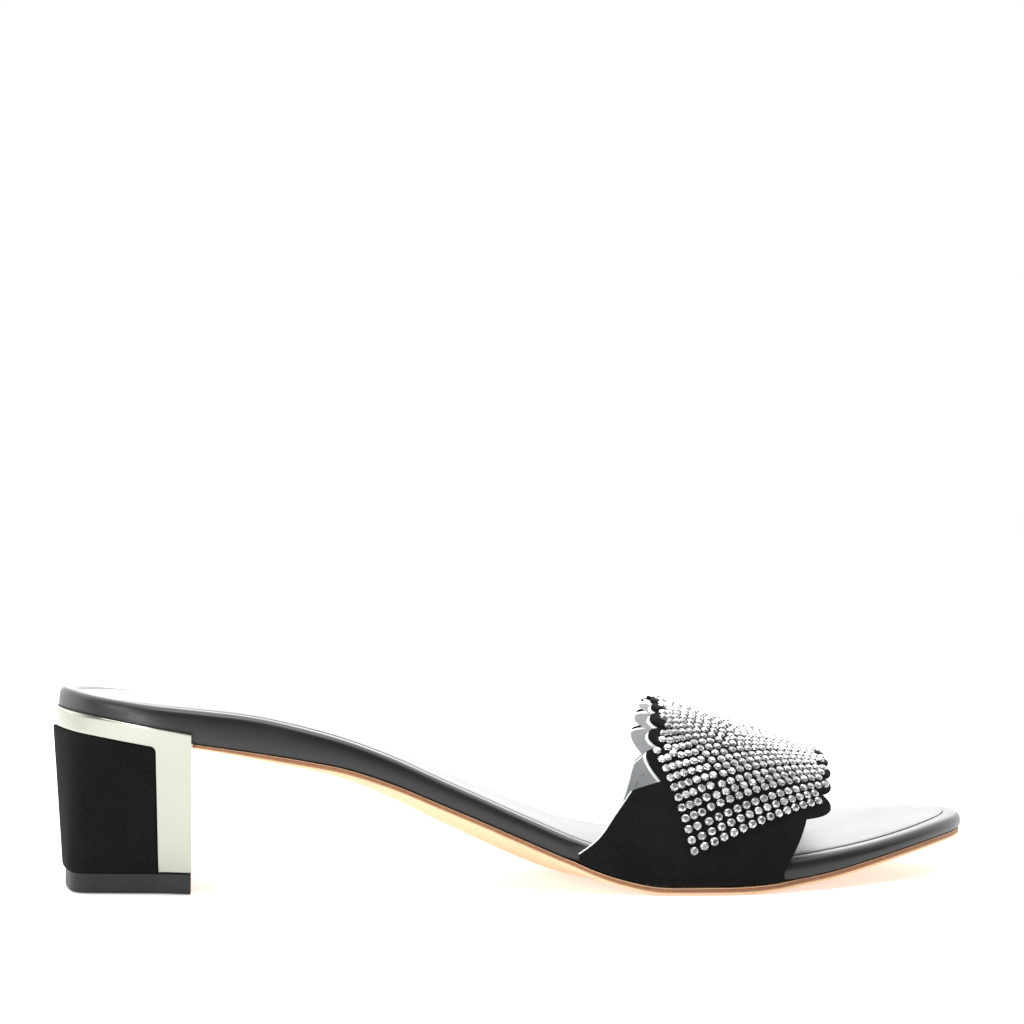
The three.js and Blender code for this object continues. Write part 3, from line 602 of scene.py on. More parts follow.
round_parts = [leg_part + run / heel_top.total for run in (0, 0.1, 0.35, 0.75)]
round_end = leg_part + RECESS_ROUND / heel_top.total
HEEL_COLUMNS = [("corner", 0), ("side", corner_part)]
HEEL_COLUMNS += [("side", part) for part in spread(corner_part, leg_part, LEG_COLUMNS)[1:]]
HEEL_COLUMNS += [("side", part) for part in round_parts]
HEEL_COLUMNS += [("side", part) for part in spread(round_end, 1 - round_end, BACK_COLUMNS)]
HEEL_COLUMNS += [("side", 1 - part) for part in (round_end, *round_parts[:0:-1])]
HEEL_COLUMNS += [("side", part) for part in spread(1 - leg_part, 1 - corner_part, LEG_COLUMNS)]
HEEL_COLUMNS += [("side", 1 - corner_part), ("corner", 1)]
breast_shares = (0.012, *spread(0.03, 0.97, BREAST_COLUMNS), 0.97, 0.988)
HEEL_COLUMNS += [("breast", share) for share in breast_shares]


def heel_stack(rows):
    """A closed block from rings of the heel's columns, each row a function of the column"""
    bm = bmesh.new()
    index = bm.verts.layers.int.new("column")
    ring = bmesh.ops.create_circle(bm, segments=len(HEEL_COLUMNS), radius=1)["verts"]
    for i, vert in enumerate(ring):
        vert[index] = i
        vert.co = rows[0](*HEEL_COLUMNS[i])
    edges = bm.edges[:]
    bmesh.ops.holes_fill(bm, edges=edges, sides=0)
    for row in rows[1:]:
        made = bmesh.ops.extrude_edge_only(bm, edges=edges)["geom"]
        edges = [e for e in made if isinstance(e, bmesh.types.BMEdge) and e.is_boundary]
        for vert in {vert for edge in edges for vert in edge.verts}:
            vert.co = row(*HEEL_COLUMNS[vert[index]])
    bmesh.ops.holes_fill(bm, edges=edges, sides=0)
    bmesh.ops.recalc_face_normals(bm, faces=bm.faces)
    return bm


def round_heel(kind, part, z, breast_z, depth):
    """A point of one ring of the heel: on its side, its rounded corner or its breast"""
    if kind == "side":
        return heel_point(part, z, depth)
    if kind == "corner":
        spot = heel_point(part, z, depth + CORNER_CUT)
        return Vector((BREAST - CORNER_CUT - min(depth, 0.1), spot.y, z))
    outer, inner = heel_point(0, breast_z, depth), heel_point(1, breast_z, depth)
    spot = inner.lerp(outer, part)
    return Vector((BREAST - min(depth, 0.4), spot.y, breast_z))


BLOCK_ROWS = 14
BAND_ROWS = 5
SEAT_DROP = 0.5


def block_row(share, in_band, drop, depth):
    """A ring of the heel frame: share of the way up the block or up its band, less drop"""

    def place(kind, part):
        base = part if kind != "breast" else 0
        split = recess_top(base)
        low, high = (split, rim_high(base)) if in_band else (HEEL_BASE, split)
        z = low + (high - low) * share - drop
        seat = feather(BREAST) - SEAT_DROP
        rise = (z - HEEL_BASE) / (rim_high(base) - HEEL_BASE)
        return round_heel(kind, part, z, HEEL_BASE + (seat - HEEL_BASE) * min(rise, 1), depth)

    return place


def seat_row(kind, part):
    spot = round_heel(kind, part, rim_high(part if kind != "breast" else 0), 0, RIM_WALL)
    return Vector((spot.x, spot.y, feather(spot.x) - SEAT_DROP))


rows = [block_row(0, False, 0, 0.25), block_row(0, False, -0.25, 0)]
rows += [block_row(i / BLOCK_ROWS, False, 0, 0) for i in range(1, BLOCK_ROWS)]
rows += [block_row(i / BAND_ROWS, True, 0, 0) for i in range(BAND_ROWS)]
rows += [block_row(1, True, 0.35, 0), block_row(1, True, 0.1, 0.08), block_row(1, True, 0, 0.3)]
rows += [block_row(1, True, 0, 0.65), block_row(1, True, 0.15, RIM_WALL), seat_row]
bm = heel_stack(rows)

recess = []
for face in bm.faces:
    spots = [HEEL_COLUMNS[vert[bm.verts.layers.int["column"]]] for vert in face.verts]
    parts = [part for kind, part in spots if kind == "side"]
    if len(parts) == len(face.verts) == 4 and min(parts) >= leg_part - 1e-6:
        high = max(v.co.z - recess_top(p) for v, p in zip(face.verts, parts))
        if max(parts) <= 1 - leg_part + 1e-6 and high < 1e-3:
            recess.append(face)
border = [
    edge
    for edge in {edge for face in recess for edge in face.edges}
    if sum(face in recess for face in edge.link_faces) == 1
]
made = bmesh.ops.extrude_face_region(bm, geom=recess)["geom"]
bmesh.ops.delete(bm, geom=[face for face in recess if face.is_valid], context="FACES")
index = bm.verts.layers.int["column"]
for vert in [vert for vert in made if isinstance(vert, bmesh.types.BMVert)]:
    vert.co = heel_point(HEEL_COLUMNS[vert[index]][1], vert.co.z, RECESS_DEEP)
bmesh.ops.remove_doubles(bm, verts=bm.verts, dist=MERGE_WITHIN)
bmesh.ops.recalc_face_normals(bm, faces=bm.faces)
over_foot = [edge for edge in border if max(vert.co.z for vert in edge.verts) > HEEL_BASE + 0.1]
brink = [edge for edge in over_foot if edge.calc_face_angle(0) > BRINK_TURN]
bmesh.ops.bevel(
    bm, geom=brink, offset=BRINK_ROUND, segments=2, profile=0.5, affect="EDGES", material=-1
)

silver_plate = Finish(bpy.data.materials.new("silver_plate"))
place = silver_plate.object_place()
long_place = silver_plate.node("ShaderNodeMapping", {}, {"Vector": place, "Scale": (1, 1, 0.06)})
hairline = silver_plate.noise(long_place, 1400, 2)
haze = silver_plate.noise(place, 45, 3)
silver_plate.surface(
    {
        "Base Color": silver_plate.blend(haze, (0.36, 0.368, 0.318, 1), (0.415, 0.424, 0.365, 1)),
        "Metallic": 1,
        "Roughness": 0.13 + haze * 0.07 + hairline * 0.04,
        "Normal": silver_plate.bump(hairline, 0.06, 0.00005),
    }
)
set_piece(bm, "plated_heel", silver_plate, ["heel_frame"])


# Heel cover. A shaped panel of black suede over thin board, its edges skived and turned
# in, cemented into the recess of the heel so that it stands a little proud of the plate.
COVER_FIT = 0.25
COVER_CROWD = 0.13
COVER_GRID = (90, 30)
COVER_EDGE = ((0.2, 0.06), (0.04, 0.26), (0, 0.55), (0, 1.2))  # drawn in, depth under the face
cover_low = leg_part + COVER_FIT / heel_top.total
cover_high = 1 - leg_part - COVER_FIT / heel_top.total


def cover_layer(drawn_in, depth):
    """Panel surface at a depth, its edges drawn in"""

    def place(u, v):
        by = drawn_in / heel_top.total
        share = (u + 1) / 2
        share -= COVER_CROWD * math.sin(2 * math.pi * share)
        part = cover_low + by + (cover_high - cover_low - 2 * by) * share
        low = HEEL_BASE + drawn_in
        high = recess_top(part) - COVER_FIT - drawn_in
        return heel_point(part, low + (high - low) * (v + 1) / 2, depth)

    return place


black_suede = Finish(bpy.data.materials.new("black_suede"))
place = black_suede.object_place()
nap = black_suede.noise(place, 2600, 3, 0.7)
tuft = black_suede.cells(place, 1500)
brushed = black_suede.noise(place, 38, 4, 0.6)
shade = black_suede.step(brushed, 0.35, 0.75) * 0.3 + black_suede.step(nap, 0.3, 0.75) * 0.7
black_suede.surface(
    {
        "Base Color": black_suede.blend(shade, (0.0012, 0.0012, 0.0013, 1), (0.012, 0.0119, 0.012, 1)),
        "Roughness": 0.9 + nap * 0.1,
        "Specular IOR Level": 0.08,
        "Sheen Weight": 0.02,
        "Sheen Roughness": 0.6,
        "Normal": black_suede.bump(tuft, 0.5, 0.0002, black_suede.bump(nap, 0.7, 0.00012)),
    }
)
bm = sheet(
    COVER_GRID,
    cover_layer(0.45, -COVER_PROUD),
    [cover_layer(drawn_in, depth - COVER_PROUD) for drawn_in, depth in COVER_EDGE],
    cover_layer(0, COVER_THICK - COVER_PROUD - 0.05),
)
set_piece(bm, "suede_heel_cover", black_suede, ["heel_cover"])


# Top lift. The wearing piece under the heel: a 5 mm slab of black rubber, cut to the
# heel's foot, its lower edge rounded by the grinder, pinned and cemented on.
LIFT_HIGH = 5.0
LIFT_INSET = 0.25
LIFT_ROWS = (  # height, moved in from the heel's foot
    (0, 0.8),
    (0.06, 0.5),
    (0.25, 0.3),
    (0.6, LIFT_INSET),
    (2, LIFT_INSET),
    (3.6, LIFT_INSET),
    (LIFT_HIGH - 0.1, LIFT_INSET),
    (LIFT_HIGH + 0.05, LIFT_INSET + 0.12),
)


def lift_row(z, depth):
    def place(kind, part):
        spot = round_heel(kind, part, HEEL_BASE, HEEL_BASE, depth)
        return Vector((min(spot.x, BREAST - depth), spot.y, z))

    return place


heel_rubber = Finish(bpy.data.materials.new("heel_rubber"))
place = heel_rubber.object_place()
grit = heel_rubber.noise(place, 1800, 3)
worn = heel_rubber.noise(place, 120, 3)
heel_rubber.surface(
    {
        "Base Color": heel_rubber.blend(
            grit * 0.5 + worn * 0.5, (0.012, 0.012, 0.013, 1), (0.034, 0.035, 0.036, 1)
        ),
        "Roughness": 0.42 + worn * 0.25,
        "Specular IOR Level": 0.2,
        "Normal": heel_rubber.bump(grit, 0.2, 0.0001),
    }
)
bm = heel_stack([lift_row(z, depth) for z, depth in LIFT_ROWS])
set_piece(bm, "rubber_top_lift", heel_rubber, ["top_lift"])


# Footbed. A board with a thin foam layer, wrapped in smooth black leather that is turned
# under all round. Its rim is rounded and stands round a shallow seat for the sock. Where
# the strap comes down, the edge is drawn in so that the strap lies nearly flush with it.
RIM_WIDTH = 4.8
STRAP_SEAT = 1.0
SEAT_LATER = 4
SEAT_SOONER = 6


def bed_layer(drawn_in, height, seated=0):
    """Footbed surface drawn in, at a height by place; seated is its share of the strap's seat"""

    def inset(x, sign):
        start, full, leave, end = STRAP_LANDS[sign]
        under_strap = smooth(x, start + SEAT_LATER, full) - smooth(x, leave, end - SEAT_SOONER)
        return drawn_in + seated * STRAP_SEAT * under_strap

    def place(u, v):
        x, y = plan_spot(u, v, inset)
        return Vector((x, y, height(x, y)))

    return place


def wall(share, up=0):
    return lambda x, y: feather(x) + share * (top_edge(x) - feather(x)) + up


def on_bed(up):
    return lambda x, y: top_at(x, y) + up


black_leather = Finish(bpy.data.materials.new("black_leather"))
place = black_leather.object_place()
pores = black_leather.cells(place, 1700, "DISTANCE_TO_EDGE")
fine = black_leather.noise(place, 2400, 3)
rub = black_leather.noise(place, 70, 4, 0.6)
black_leather.surface(
    {
        "Base Color": black_leather.blend(
            rub * 0.6 + fine * 0.4, (0.0035, 0.0035, 0.004, 1), (0.013, 0.013, 0.015, 1)
        ),
        "Roughness": 0.27 + rub * 0.14 + fine * 0.05,
        "Specular IOR Level": 0.45,
        "Coat Weight": 0.05,
        "Coat Roughness": 0.18,
        "Normal": black_leather.bump(
            black_leather.step(pores, 0, 0.12), 0.12, 0.00005, black_leather.bump(fine, 0.1, 0.00006)
        ),
    }
)
bm = sheet(
    PLAN_GRID,
    bed_layer(RIM_WIDTH + 0.15, on_bed(-0.75)),
    [
        bed_layer(RIM_WIDTH + 0.02, on_bed(-0.45)),
        bed_layer(RIM_WIDTH - 0.02, on_bed(-0.1)),
        bed_layer(RIM_WIDTH - 0.2, on_bed(0)),
        bed_layer(3.6, wall(1, 0.05)),
        bed_layer(2.5, wall(1)),
        bed_layer(1.5, wall(1, -0.22)),
        bed_layer(0.75, wall(1, -0.7)),
        bed_layer(0.25, wall(1, -1.5), 0.6),
        bed_layer(0.02, wall(0.55), 1),
        bed_layer(0, wall(0.3), 1),
        bed_layer(0.12, wall(0.12), 1),
        bed_layer(0.5, wall(0, 0.22), 1),
    ],
    bed_layer(1.3, bottom_at, 1),
)
set_piece(bm, "wrapped_footbed", black_leather, ["footbed"], 1)


# Insole sock. One millimetre of black glazed lining leather, cut to the footbed less its
# rim, cemented into the seat. Its cut edge shows as a fine dark line all round.
SOCK_GAP = 0.12
SOCK_EDGE = (  # drawn in from the cut edge, height over the footbed
    (2, 0.41),
    (1.1, 0.32),
    (0.4, 0.19),
    (0.1, 0.11),
    (0, 0.02),
    (0, -0.25),
)


def sock_layer(more, up):
    return bed_layer(RIM_WIDTH + SOCK_GAP + more, on_bed(up))


sock_leather = Finish(bpy.data.materials.new("sock_leather"))
place = sock_leather.object_place()
grain = sock_leather.cells(place, 1300, "DISTANCE_TO_EDGE")
fine = sock_leather.noise(place, 2000, 3)
rub = sock_leather.noise(place, 50, 4, 0.6)
sock_leather.surface(
    {
        "Base Color": sock_leather.blend(
            rub * 0.6 + fine * 0.4, (0.006, 0.006, 0.007, 1), (0.018, 0.018, 0.02, 1)
        ),
        "Roughness": 0.3 + rub * 0.12 + fine * 0.06,
        "Specular IOR Level": 0.5,
        "Coat Weight": 0.1,
        "Coat Roughness": 0.2,
        "Normal": sock_leather.bump(
            sock_leather.step(grain, 0, 0.14), 0.16, 0.00006, sock_leather.bump(fine, 0.12, 0.00006)
        ),
    }
)
bm = sheet(
    PLAN_GRID,
    sock_layer(3, 0.45),
    [sock_layer(more, up) for more, up in SOCK_EDGE],
    sock_layer(0.05, -0.45),
)
set_piece(bm, "leather_sock", sock_leather, ["insole_sock"])


# Strap. One wide piece of black suede, cut into rounded fingers at the throat and at the
# toe, lasted over the foot and turned under the footbed on both sides. Its surface is set
# out on sections square to a straight ridge that falls to the toe.
RIDGE = Vector((157, 6, 46.2))
RIDGE_FALL = math.radians(17.8)
SECTION_POWER = 2.25
SIDE_TOP = 8
STRAP_PROUD = 1.0
STRAP_THICK = 1.8
SUEDE_THICK = 1.1
CORNER_HIGH = 2.4
PATTERN_MIDDLE = -7
PATTERN_SKEW = 0.1
SECTION_SPACE = 0.5
SECTION_STEPS = 60
UNDER_HIGHS = (6, 4, 2, 0, -2)  # heights of a section's points below the side's top
LONGEST_SIDE = 74
NORMAL_REACH = 0.8
BACK_FINGERS = (  # side of the notch, its edge, side of the tip, its edge, roundness below it
    (4.6, 2.8, 0, -0.3, 2.4),
    (12.6, 2.7, 8.2, -0.6, 2.4),
    (20.8, 3.0, 16.2, -0.9, 2.4),
    (28.8, 3.8, 23.9, -0.7, 2.4),
    (39.4, 5.4, 31.2, -0.2, 1.5),
)
FRONT_FINGERS = (
    (9.6, 45.9, 4.6, 48.9, 2.4),
    (17.5, 45.9, 13.5, 48.9, 2.4),
    (25.2, 45.9, 21.4, 48.9, 2.4),
    (32.6, 45.6, 29.1, 48.8, 2.4),
    (42.2, 43.6, 36.8, 49.4, 1.8),
)
TIP_ROUND = 2.4
LOWEST_FINGER = 42.2
SIDE_EDGES = (  # share of the way down, outer back and front edge, inner back and front edge
    (0, -0.8, 43.6, 3.4, 43.6),
    (0.35, -2.6, 43.6, 3.3, 43.7),
    (0.7, -4.2, 43.2, 2.7, 43.9),
    (1, -7.2, 42.8, 1.9, 44.0),
)
STRAP_COLUMNS = 56
SIDE_ROWS = 22
ROW_SPACE = 0.42
TURNED = (  # drawn in and height of the outer face, then of the inner face, past the side's end
    (0.03, 1.3, 1.1, 1.9),
    (0.14, 0.75, 1.12, 1.6),
    (0.42, 0.42, 1.2, 1.45),
    (0.9, 0.3, 1.5, 1.4),
    (2.4, 0.3, 2.4, 1.4),
)
SUEDE_EDGE = ((-0.08, -0.08), (0, -0.3), (0, -0.85))  # moved out, height over the outer face


def strap_section(along, sign):
    """Points of one section of the strap, from the ridge down one side, and their lengths"""
    cos, sin = math.cos(RIDGE_FALL), math.sin(RIDGE_FALL)
    ridge = RIDGE + Vector((cos, 0, -sin)) * along
    deep = (ridge.z - SIDE_TOP) / cos
    half = 1 if sign < 0 else 2
    side = column(sides, half, ridge.x - sin * deep) + sign * STRAP_PROUD
    points = []
    for i in range(SECTION_STEPS + 1):
        turn = math.pi / 2 * i / SECTION_STEPS
        y = ridge.y + (side - ridge.y) * math.sin(turn) ** (2 / SECTION_POWER)
        down = deep * (1 - max(math.cos(turn), 0) ** (2 / SECTION_POWER))
        points.append(Vector((ridge.x - sin * down, y, ridge.z - cos * down)))
    for z in UNDER_HIGHS:
        x = ridge.x - sin * (ridge.z - z) / cos
        points.append(Vector((x, column(sides, half, x) + sign * STRAP_PROUD, z)))
    lengths = [0]
    for a, b in zip(points, points[1:]):
        lengths.append(lengths[-1] + (b - a).length)
    return points, lengths


section_store = {}


def on_section(step, across):
    sign = -1 if across < 0 else 1
    if (step, sign) not in section_store:
        section_store[step, sign] = strap_section(step * SECTION_SPACE, sign)
    points, lengths = section_store[step, sign]
    i = min(max(bisect.bisect_left(lengths, abs(across)) - 1, 0), len(points) - 2)
    t = (abs(across) - lengths[i]) / (lengths[i + 1] - lengths[i])
    return points[i].lerp(points[i + 1], t)


def on_surface(along, across):
    step = math.floor(along / SECTION_SPACE)
    t = along / SECTION_SPACE - step
    return on_section(step, across).lerp(on_section(step + 1, across), t)


def pattern_spot(edge, side):
    """The place of a pattern spot on the strap, and its direction outwards"""
    across = PATTERN_MIDDLE + side
    along = edge + PATTERN_SKEW * side
    reach = NORMAL_REACH
    ahead = on_surface(along + reach, across) - on_surface(along - reach, across)
    inward = on_surface(along, across + reach) - on_surface(along, across - reach)
    return on_surface(along, across), ahead.cross(inward).normalized()


def on_pattern(edge, side, up):
    spot, out = pattern_spot(edge, side)
    return spot + out * up


def finger_edge(fingers, side):
    """Edge of the strap at a distance from its middle line"""
    far = abs(side)
    i = next(k for k, row in enumerate(fingers) if far <= row[0] + 1e-6)
    notch_side, notch, tip_side, tip, roundness = fingers[i]
    inner_side, inner_notch = (-fingers[0][0], notch) if i == 0 else fingers[i - 1][:2]
    outwards = far > tip_side
    reach = notch_side - tip_side if outwards else tip_side - inner_side
    depth = notch if outwards else inner_notch
    roundness = roundness if outwards else TIP_ROUND
    return tip + (depth - tip) * min(abs(far - tip_side) / reach, 1) ** roundness


def strap_edges(side):
    """Back and front edge of the strap over the foot"""
    front = finger_edge(FRONT_FINGERS, side)
    last_side, last_notch = BACK_FINGERS[-1][:2]
    if abs(side) <= last_side:
        return finger_edge(BACK_FINGERS, side), front
    t = (abs(side) - last_side) / (LOWEST_FINGER - last_side)
    end = SIDE_EDGES[0][1 if side < 0 else 3]
    return last_notch + (end - last_notch) * t, front


def side_long(edge, sign):
    """Pattern distance at which the side of the strap comes down to the footbed's edge"""
    low, high = LOWEST_FINGER, LONGEST_SIDE
    for _ in range(16):
        mid = (low + high) / 2
        spot = on_surface(edge + PATTERN_SKEW * sign * mid, PATTERN_MIDDLE + sign * mid)
        low, high = (mid, high) if spot.z > feather(spot.x) + CORNER_HIGH else (low, mid)
    return low


marks = {0, LOWEST_FINGER}
for row in BACK_FINGERS + FRONT_FINGERS:
    marks |= {row[0], row[2]}
marks = sorted(marks)
over_rows = []
for a, b in zip(marks, marks[1:]):
    over_rows += spread(a, b, max(round((b - a) / ROW_SPACE), 1))
over_rows.append(LOWEST_FINGER)


def strap_lines(turned):
    """Rows of the strap from under its outer side over the foot to under its inner side"""
    down = [("side", i / SIDE_ROWS) for i in range(1, SIDE_ROWS + 1)]
    down += [("turned", row) for row in turned]
    lines = [(-1, *line) for line in reversed(down)]
    lines += [(-1, "over", -side) for side in reversed(over_rows[1:])]
    lines += [(1, "over", side) for side in over_rows]
    return lines + [(1, *line) for line in down]


def strap_layer(lines, columns, back_out, front_out, up):
    """Strap surface at a height over its outer face, its edges moved out by a little"""
    store = {}

    def strap_side(sign, down, share):
        back, front = (column(SIDE_EDGES, k + (0 if sign < 0 else 2), down) for k in (1, 2))
        edge = back - back_out + (front - back + back_out + front_out) * share
        side = LOWEST_FINGER + (side_long(edge, sign) - LOWEST_FINGER) * down
        return on_pattern(edge, sign * side, up)

    def place(u, v):
        share = (u + 1) / 2
        row = round((v + 1) / 2 * (len(lines) - 1))
        sign, kind, value = lines[row]
        if kind == "over":
            back, front = strap_edges(value)
            edge = back - back_out + (front - back + back_out + front_out) * share
            return on_pattern(edge, value, up)
        if kind == "side":
            return strap_side(sign, value, share)
        key = (sign, round(share * columns))
        if key not in store:
            store[key] = strap_side(sign, 1, share)
        end = store[key]
        outer_in, outer_high, inner_in, inner_high = value
        t = -up / SUEDE_THICK
        y = end.y - sign * (outer_in + (inner_in - SUEDE_THICK - outer_in) * t)
        return Vector((end.x, y, bottom_at(end.x, end.y) + outer_high + (inner_high - outer_high) * t))

    return place


suede_lines = strap_lines(TURNED)


def suede_layer(out, up):
    return strap_layer(suede_lines, STRAP_COLUMNS, out, out, up)


bm = sheet(
    (STRAP_COLUMNS, len(suede_lines) - 1),
    suede_layer(-0.28, 0),
    [suede_layer(out, up) for out, up in SUEDE_EDGE],
    suede_layer(-0.1, -SUEDE_THICK),
)
set_piece(bm, "suede_strap", black_suede, ["upper"])


# Strap lining. Thin silver-grey kid, cemented to the back of the suede and left a shade
# proud at the throat, so that it shows as a fine pale line. A row of lockstitch holds it.
LINING_OUT = 0.55
LINING_LOW = 1.15
lining_lines = strap_lines(())


def lining_layer(more, up):
    return strap_layer(lining_lines, STRAP_COLUMNS, LINING_OUT + more, more - 0.3, up)


silver_kid = Finish(bpy.data.materials.new("silver_kid"))
place = silver_kid.object_place()
grain = silver_kid.cells(place, 1500, "DISTANCE_TO_EDGE")
fine = silver_kid.noise(place, 1900, 3)
rub = silver_kid.noise(place, 90, 4, 0.6)
silver_kid.surface(
    {
        "Base Color": silver_kid.blend(
            rub * 0.6 + fine * 0.4, (0.8, 0.84, 0.85, 1), (0.96, 0.98, 0.99, 1)
        ),
        "Metallic": 0.05,
        "Roughness": 0.36 + rub * 0.12 + fine * 0.08,
        "Normal": silver_kid.bump(
            silver_kid.step(grain, 0, 0.16), 0.3, 0.00008, silver_kid.bump(fine, 0.15, 0.00006)
        ),
    }
)
bm = sheet(
    (STRAP_COLUMNS, len(lining_lines) - 1),
    lining_layer(-0.1, -LINING_LOW),
    [lining_layer(0, -LINING_LOW - 0.15), lining_layer(0, -STRAP_THICK + 0.15)],
    lining_layer(-0.1, -STRAP_THICK),
)
set_piece(bm, "silver_lining", silver_kid, ["upper"])

STITCH_LONG = 2.1
STITCH_STEP = 2.9
STITCH_THICK = 0.17
STITCH_IN = 1.7
STITCH_UNDER = 0.06
STITCH_LAST = 20
THROAT_EDGE = 5.6
THROAT_LONG = 24
THROAT_EASE = 8

pale_thread = Finish(bpy.data.materials.new("pale_thread"))
place = pale_thread.object_place()
twist = pale_thread.noise(place, 3500, 2)
pale_thread.surface(
    {
        "Base Color": pale_thread.blend(twist, (0.3, 0.32, 0.33, 1), (0.55, 0.57, 0.58, 1)),
        "Roughness": 0.55 + twist * 0.15,
        "Normal": pale_thread.bump(twist, 0.3, 0.00005),
    }
)


def throat_spot(sign, run):
    """Place on the lining at a distance down from the lowest finger, beside the throat"""
    if run < 0:
        side = sign * (LOWEST_FINGER + run)
        return on_pattern(THROAT_EDGE + STITCH_IN, side, -STRAP_THICK - STITCH_UNDER)
    down = run / THROAT_LONG
    back = column(SIDE_EDGES, 1 if sign < 0 else 3, down)
    side = LOWEST_FINGER + (side_long(back, sign) - LOWEST_FINGER) * down
    ease = 1 - smooth(run, 0, THROAT_EASE)
    edge = back + STITCH_IN + (THROAT_EDGE - back) * ease
    return on_pattern(edge, sign * side, -STRAP_THICK - STITCH_UNDER)


bm = bmesh.new()
for sign in (-1, 1):
    run = -LOWEST_FINGER + STITCH_STEP / 2
    while run < STITCH_LAST:
        a, b = throat_spot(sign, run), throat_spot(sign, run + STITCH_LONG)
        stitch = bmesh.ops.create_icosphere(bm, subdivisions=1, radius=1)["verts"]
        bmesh.ops.scale(bm, vec=((b - a).length / 2, STITCH_THICK, STITCH_THICK), verts=stitch)
        bmesh.ops.rotate(bm, matrix=(b - a).to_track_quat("X", "Z").to_matrix(), verts=stitch)
        bmesh.ops.translate(bm, vec=(a + b) / 2, verts=stitch)
        run += STITCH_STEP
set_piece(bm, "lining_stitches", pale_thread, ["upper"])


# Stones. Round cut stones in low metal cups, set close in rows on the suede. Each band is
# an angle three rows wide, its corner towards the sole, one inside the other like a fan,
# and each side of the strap has five, the same on both sides of the pattern's middle.
STONE_BANDS = (  # corner stone, last at the throat, last at the toe (edge, side); steps each way
    ((18.7, 57.1), (2.4, 30.5), (47.3, 34.6), 10, 15),
    ((18.9, 45.5), (3.2, 24.0), (46.9, 25.6), 9, 14),
    ((19.8, 35.3), (2.6, 16.0), (47.6, 17.0), 10, 14),
    ((21.3, 25.3), (2.2, 8.4), (47.8, 9.0), 10, 13),
    ((22.8, 15.4), (2.4, 0.9), (47.8, 1.6), 10, 12),
    ((24.3, 5.6), (15.5, 0.4), (34.0, 0.4), 4, 4),
)
LANES = 3
LANE_SHARE = 0.31
ROW_TURN = (0.83, -0.09)  # direction of a row across a back leg: steps to the front, and back
STONE_ACROSS = 2.1
STONE_CLOSE = 1.5
HOLE_ROOM = 1.88
FILLED_SIDE = 36
FILL_STEPS = (48, 80)  # across the strap, and from its back edge to its front
LAST_BAND_SIDE = 12
MITRE_LAP = 0.3
TIP_BARE = 2.9
STONE_IN = 1.15
STONE_IN_FRONT = 1.9
CUT = 8
# Leans each facet's painted glint, a painted reflection, towards the dark end.
PAINTED_GLINT_LEAN = 1.3
SIDE_BANDS = 5

STONE_RINGS = (  # radius, height, turned by half a facet
    (1.08, 0.02, 0),
    (1.14, 0.36, 0),
    (0.98, 0.66, 1),
    (0.58, 0.95, 0),
)

rng = random.Random(7)
bm = bmesh.new()
for radius, high, turned in STONE_RINGS:
    ring = bmesh.ops.create_circle(bm, segments=CUT, radius=radius)["verts"]
    turn = Matrix.Rotation(math.pi / CUT * turned, 3, "Z")
    bmesh.ops.rotate(bm, matrix=turn, verts=ring)
    bmesh.ops.translate(bm, vec=(0, 0, high), verts=ring)
bmesh.ops.convex_hull(bm, input=bm.verts[:])
bmesh.ops.dissolve_limit(bm, angle_limit=0.02, verts=bm.verts, edges=bm.edges)
bmesh.ops.recalc_face_normals(bm, faces=bm.faces)
stone_mesh = bpy.data.meshes.new("stone")
bm.to_mesh(stone_mesh)
bm.free()

# Cut stone. Each facet is given a random tone from dark grey to near white: painted reflections and
# glints, standing in for the light that the facets throw back. The metal and the coat reflect the
# lamps and the room as well.
cut_stone = Finish(bpy.data.materials.new("cut_stone"))
flash = cut_stone.attribute("flash")
place = cut_stone.object_place()
flaw = cut_stone.noise(place, 1500, 2)
tone = cut_stone.ramp(
    flash + flaw * 0.1 - 0.05,
    (0.0, (0.17, 0.175, 0.18, 1)),
    (0.4, (0.36, 0.37, 0.38, 1)),
    (0.75, (0.6, 0.62, 0.63, 1)),
    (1.0, (0.95, 0.96, 0.97, 1)),
)
cut_stone.surface(
    {
        "Base Color": tone,
        "Metallic": 0.7,
        "Roughness": 0.16 + flaw * 0.14,
        "Coat Weight": 0.4,
        "Coat Roughness": 0.04,
        "Specular IOR Level": 0.6,
    }
)


def fits(edge, side):
    """True where a stone lies wholly on the suede"""
    if side >= LOWEST_FINGER:
        return True
    back, front = strap_edges(-side)
    return back + STONE_IN < edge < front - STONE_IN_FRONT


def cross_point(start, way, line, run):
    """Where a way from start meets the line of another leg"""
    return start + way * ((line - start).cross(run) / way.cross(run))


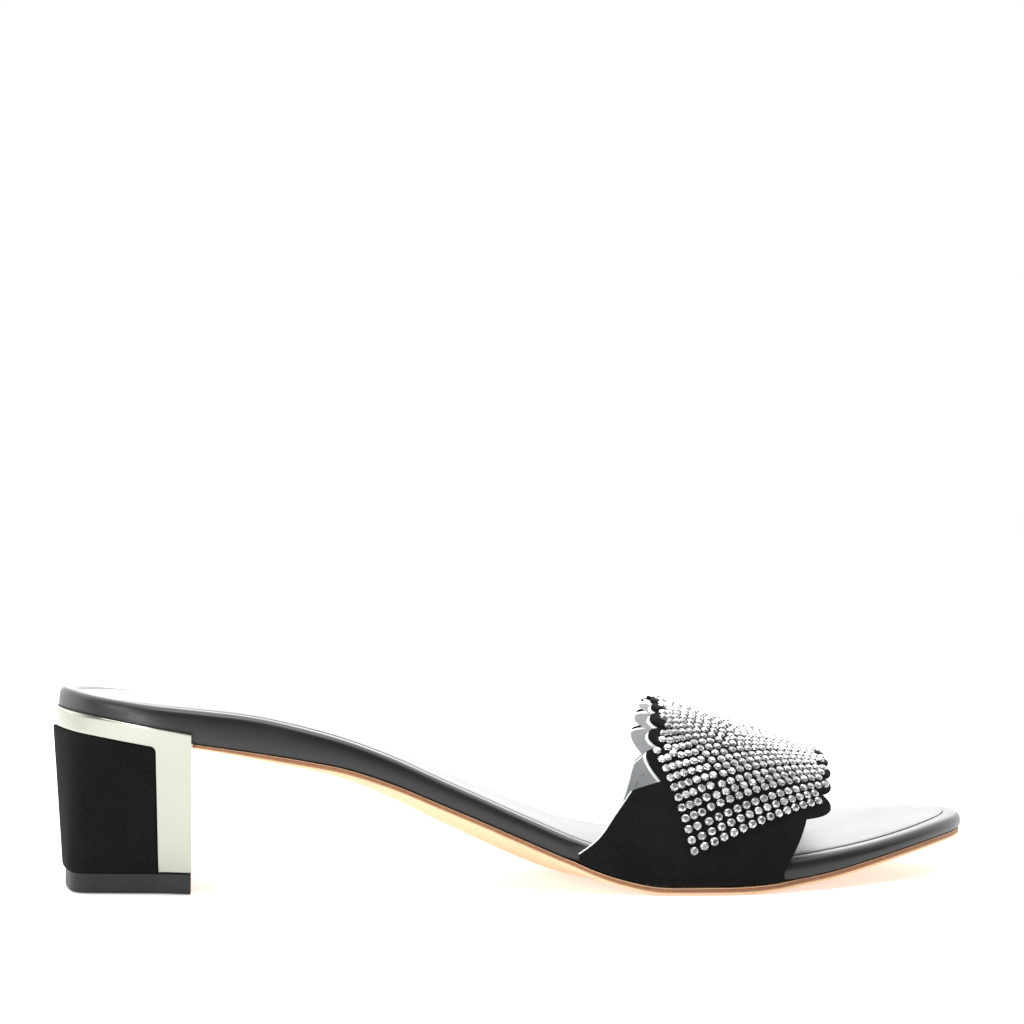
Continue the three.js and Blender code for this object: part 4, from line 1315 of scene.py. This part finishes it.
def leg_stones(number, lane, to_front):
    """Pattern places of the stones of one lane along one leg of a band"""
    corner, back, front, back_steps, front_steps = STONE_BANDS[number]
    corner = Vector(corner)
    back_step = (Vector(back) - corner) / back_steps
    front_step = (Vector(front) - corner) / front_steps
    step, way, count = back_step, front_step * ROW_TURN[0] + back_step * ROW_TURN[1], back_steps + 2
    if to_front:
        step, way, count = front_step, back_step, front_steps + 2
    near, far = STONE_BANDS[min(number, len(STONE_BANDS) - 2) :][:2]
    ahead = Vector(far[0]) - Vector(near[0])
    end = 2 if to_front else 1
    run = Vector(far[end]) - Vector(far[0])
    mitre = (corner + ahead * LANE_SHARE * lane).x
    for i in range(count):
        first = corner + step * i
        spot = first + (cross_point(first, way, corner + ahead, run) - first) * LANE_SHARE * lane
        if to_front == (spot.x >= mitre - MITRE_LAP):
            yield spot


def stone_spot(edge, side):
    return on_surface(edge + PATTERN_SKEW * side, PATTERN_MIDDLE + side)


placed = []
stone_plan = []
for lane in range(LANES):
    for number in range(len(STONE_BANDS)):
        for edge, side in [*leg_stones(number, lane, True), *leg_stones(number, lane, False)]:
            if side < STONE_ACROSS / 2 or not fits(edge, side):
                continue
            spot = stone_spot(edge, side)
            if all((spot - other).length >= STONE_CLOSE for other in placed):
                placed.append(spot)
                stone_plan.append((min(number, SIDE_BANDS - 1), edge, side))

# Single stones close the middle line and the holes left where the legs of the bands meet.
for side in [0, *spread(STONE_ACROSS / 2, FILLED_SIDE, FILL_STEPS[0])]:
    back, front = strap_edges(-side)
    for edge in spread(back + TIP_BARE, front - TIP_BARE, FILL_STEPS[1]):
        spot = stone_spot(edge, side)
        if all((spot - other).length >= HOLE_ROOM for other in placed):
            placed.append(spot)
            band = SIDE_BANDS - 1 if side < LAST_BAND_SIDE else SIDE_BANDS - 2
            stone_plan.append((band, edge, side))

for sign, word in ((-1, "outer"), (1, "inner")):
    for number in range(SIDE_BANDS):
        bm = bmesh.new()
        for band, edge, side in stone_plan:
            if band != number or (sign > 0 and not side):
                continue
            spot, out = pattern_spot(edge, sign * side)
            stone = stone_mesh.copy()
            turn = out.to_track_quat("Z", "Y").to_matrix().to_4x4()
            turn.translation = spot
            stone.transform(turn)
            bm.from_mesh(stone)
            bpy.data.meshes.remove(stone)
        # A random painted glint for each facet, dark to bright: a painted reflection put into the
        # stone's colour.
        painted_glint_layer = bm.faces.layers.float.new("flash")
        for face in bm.faces:
            face[painted_glint_layer] = rng.random() ** PAINTED_GLINT_LEAN
        piece = set_piece(
            bm, f"{word}_stones_{number + 1}", cut_stone, [f"{word}_band_{number + 1}"]
        )
        for face in piece.data.polygons:
            face.use_smooth = False
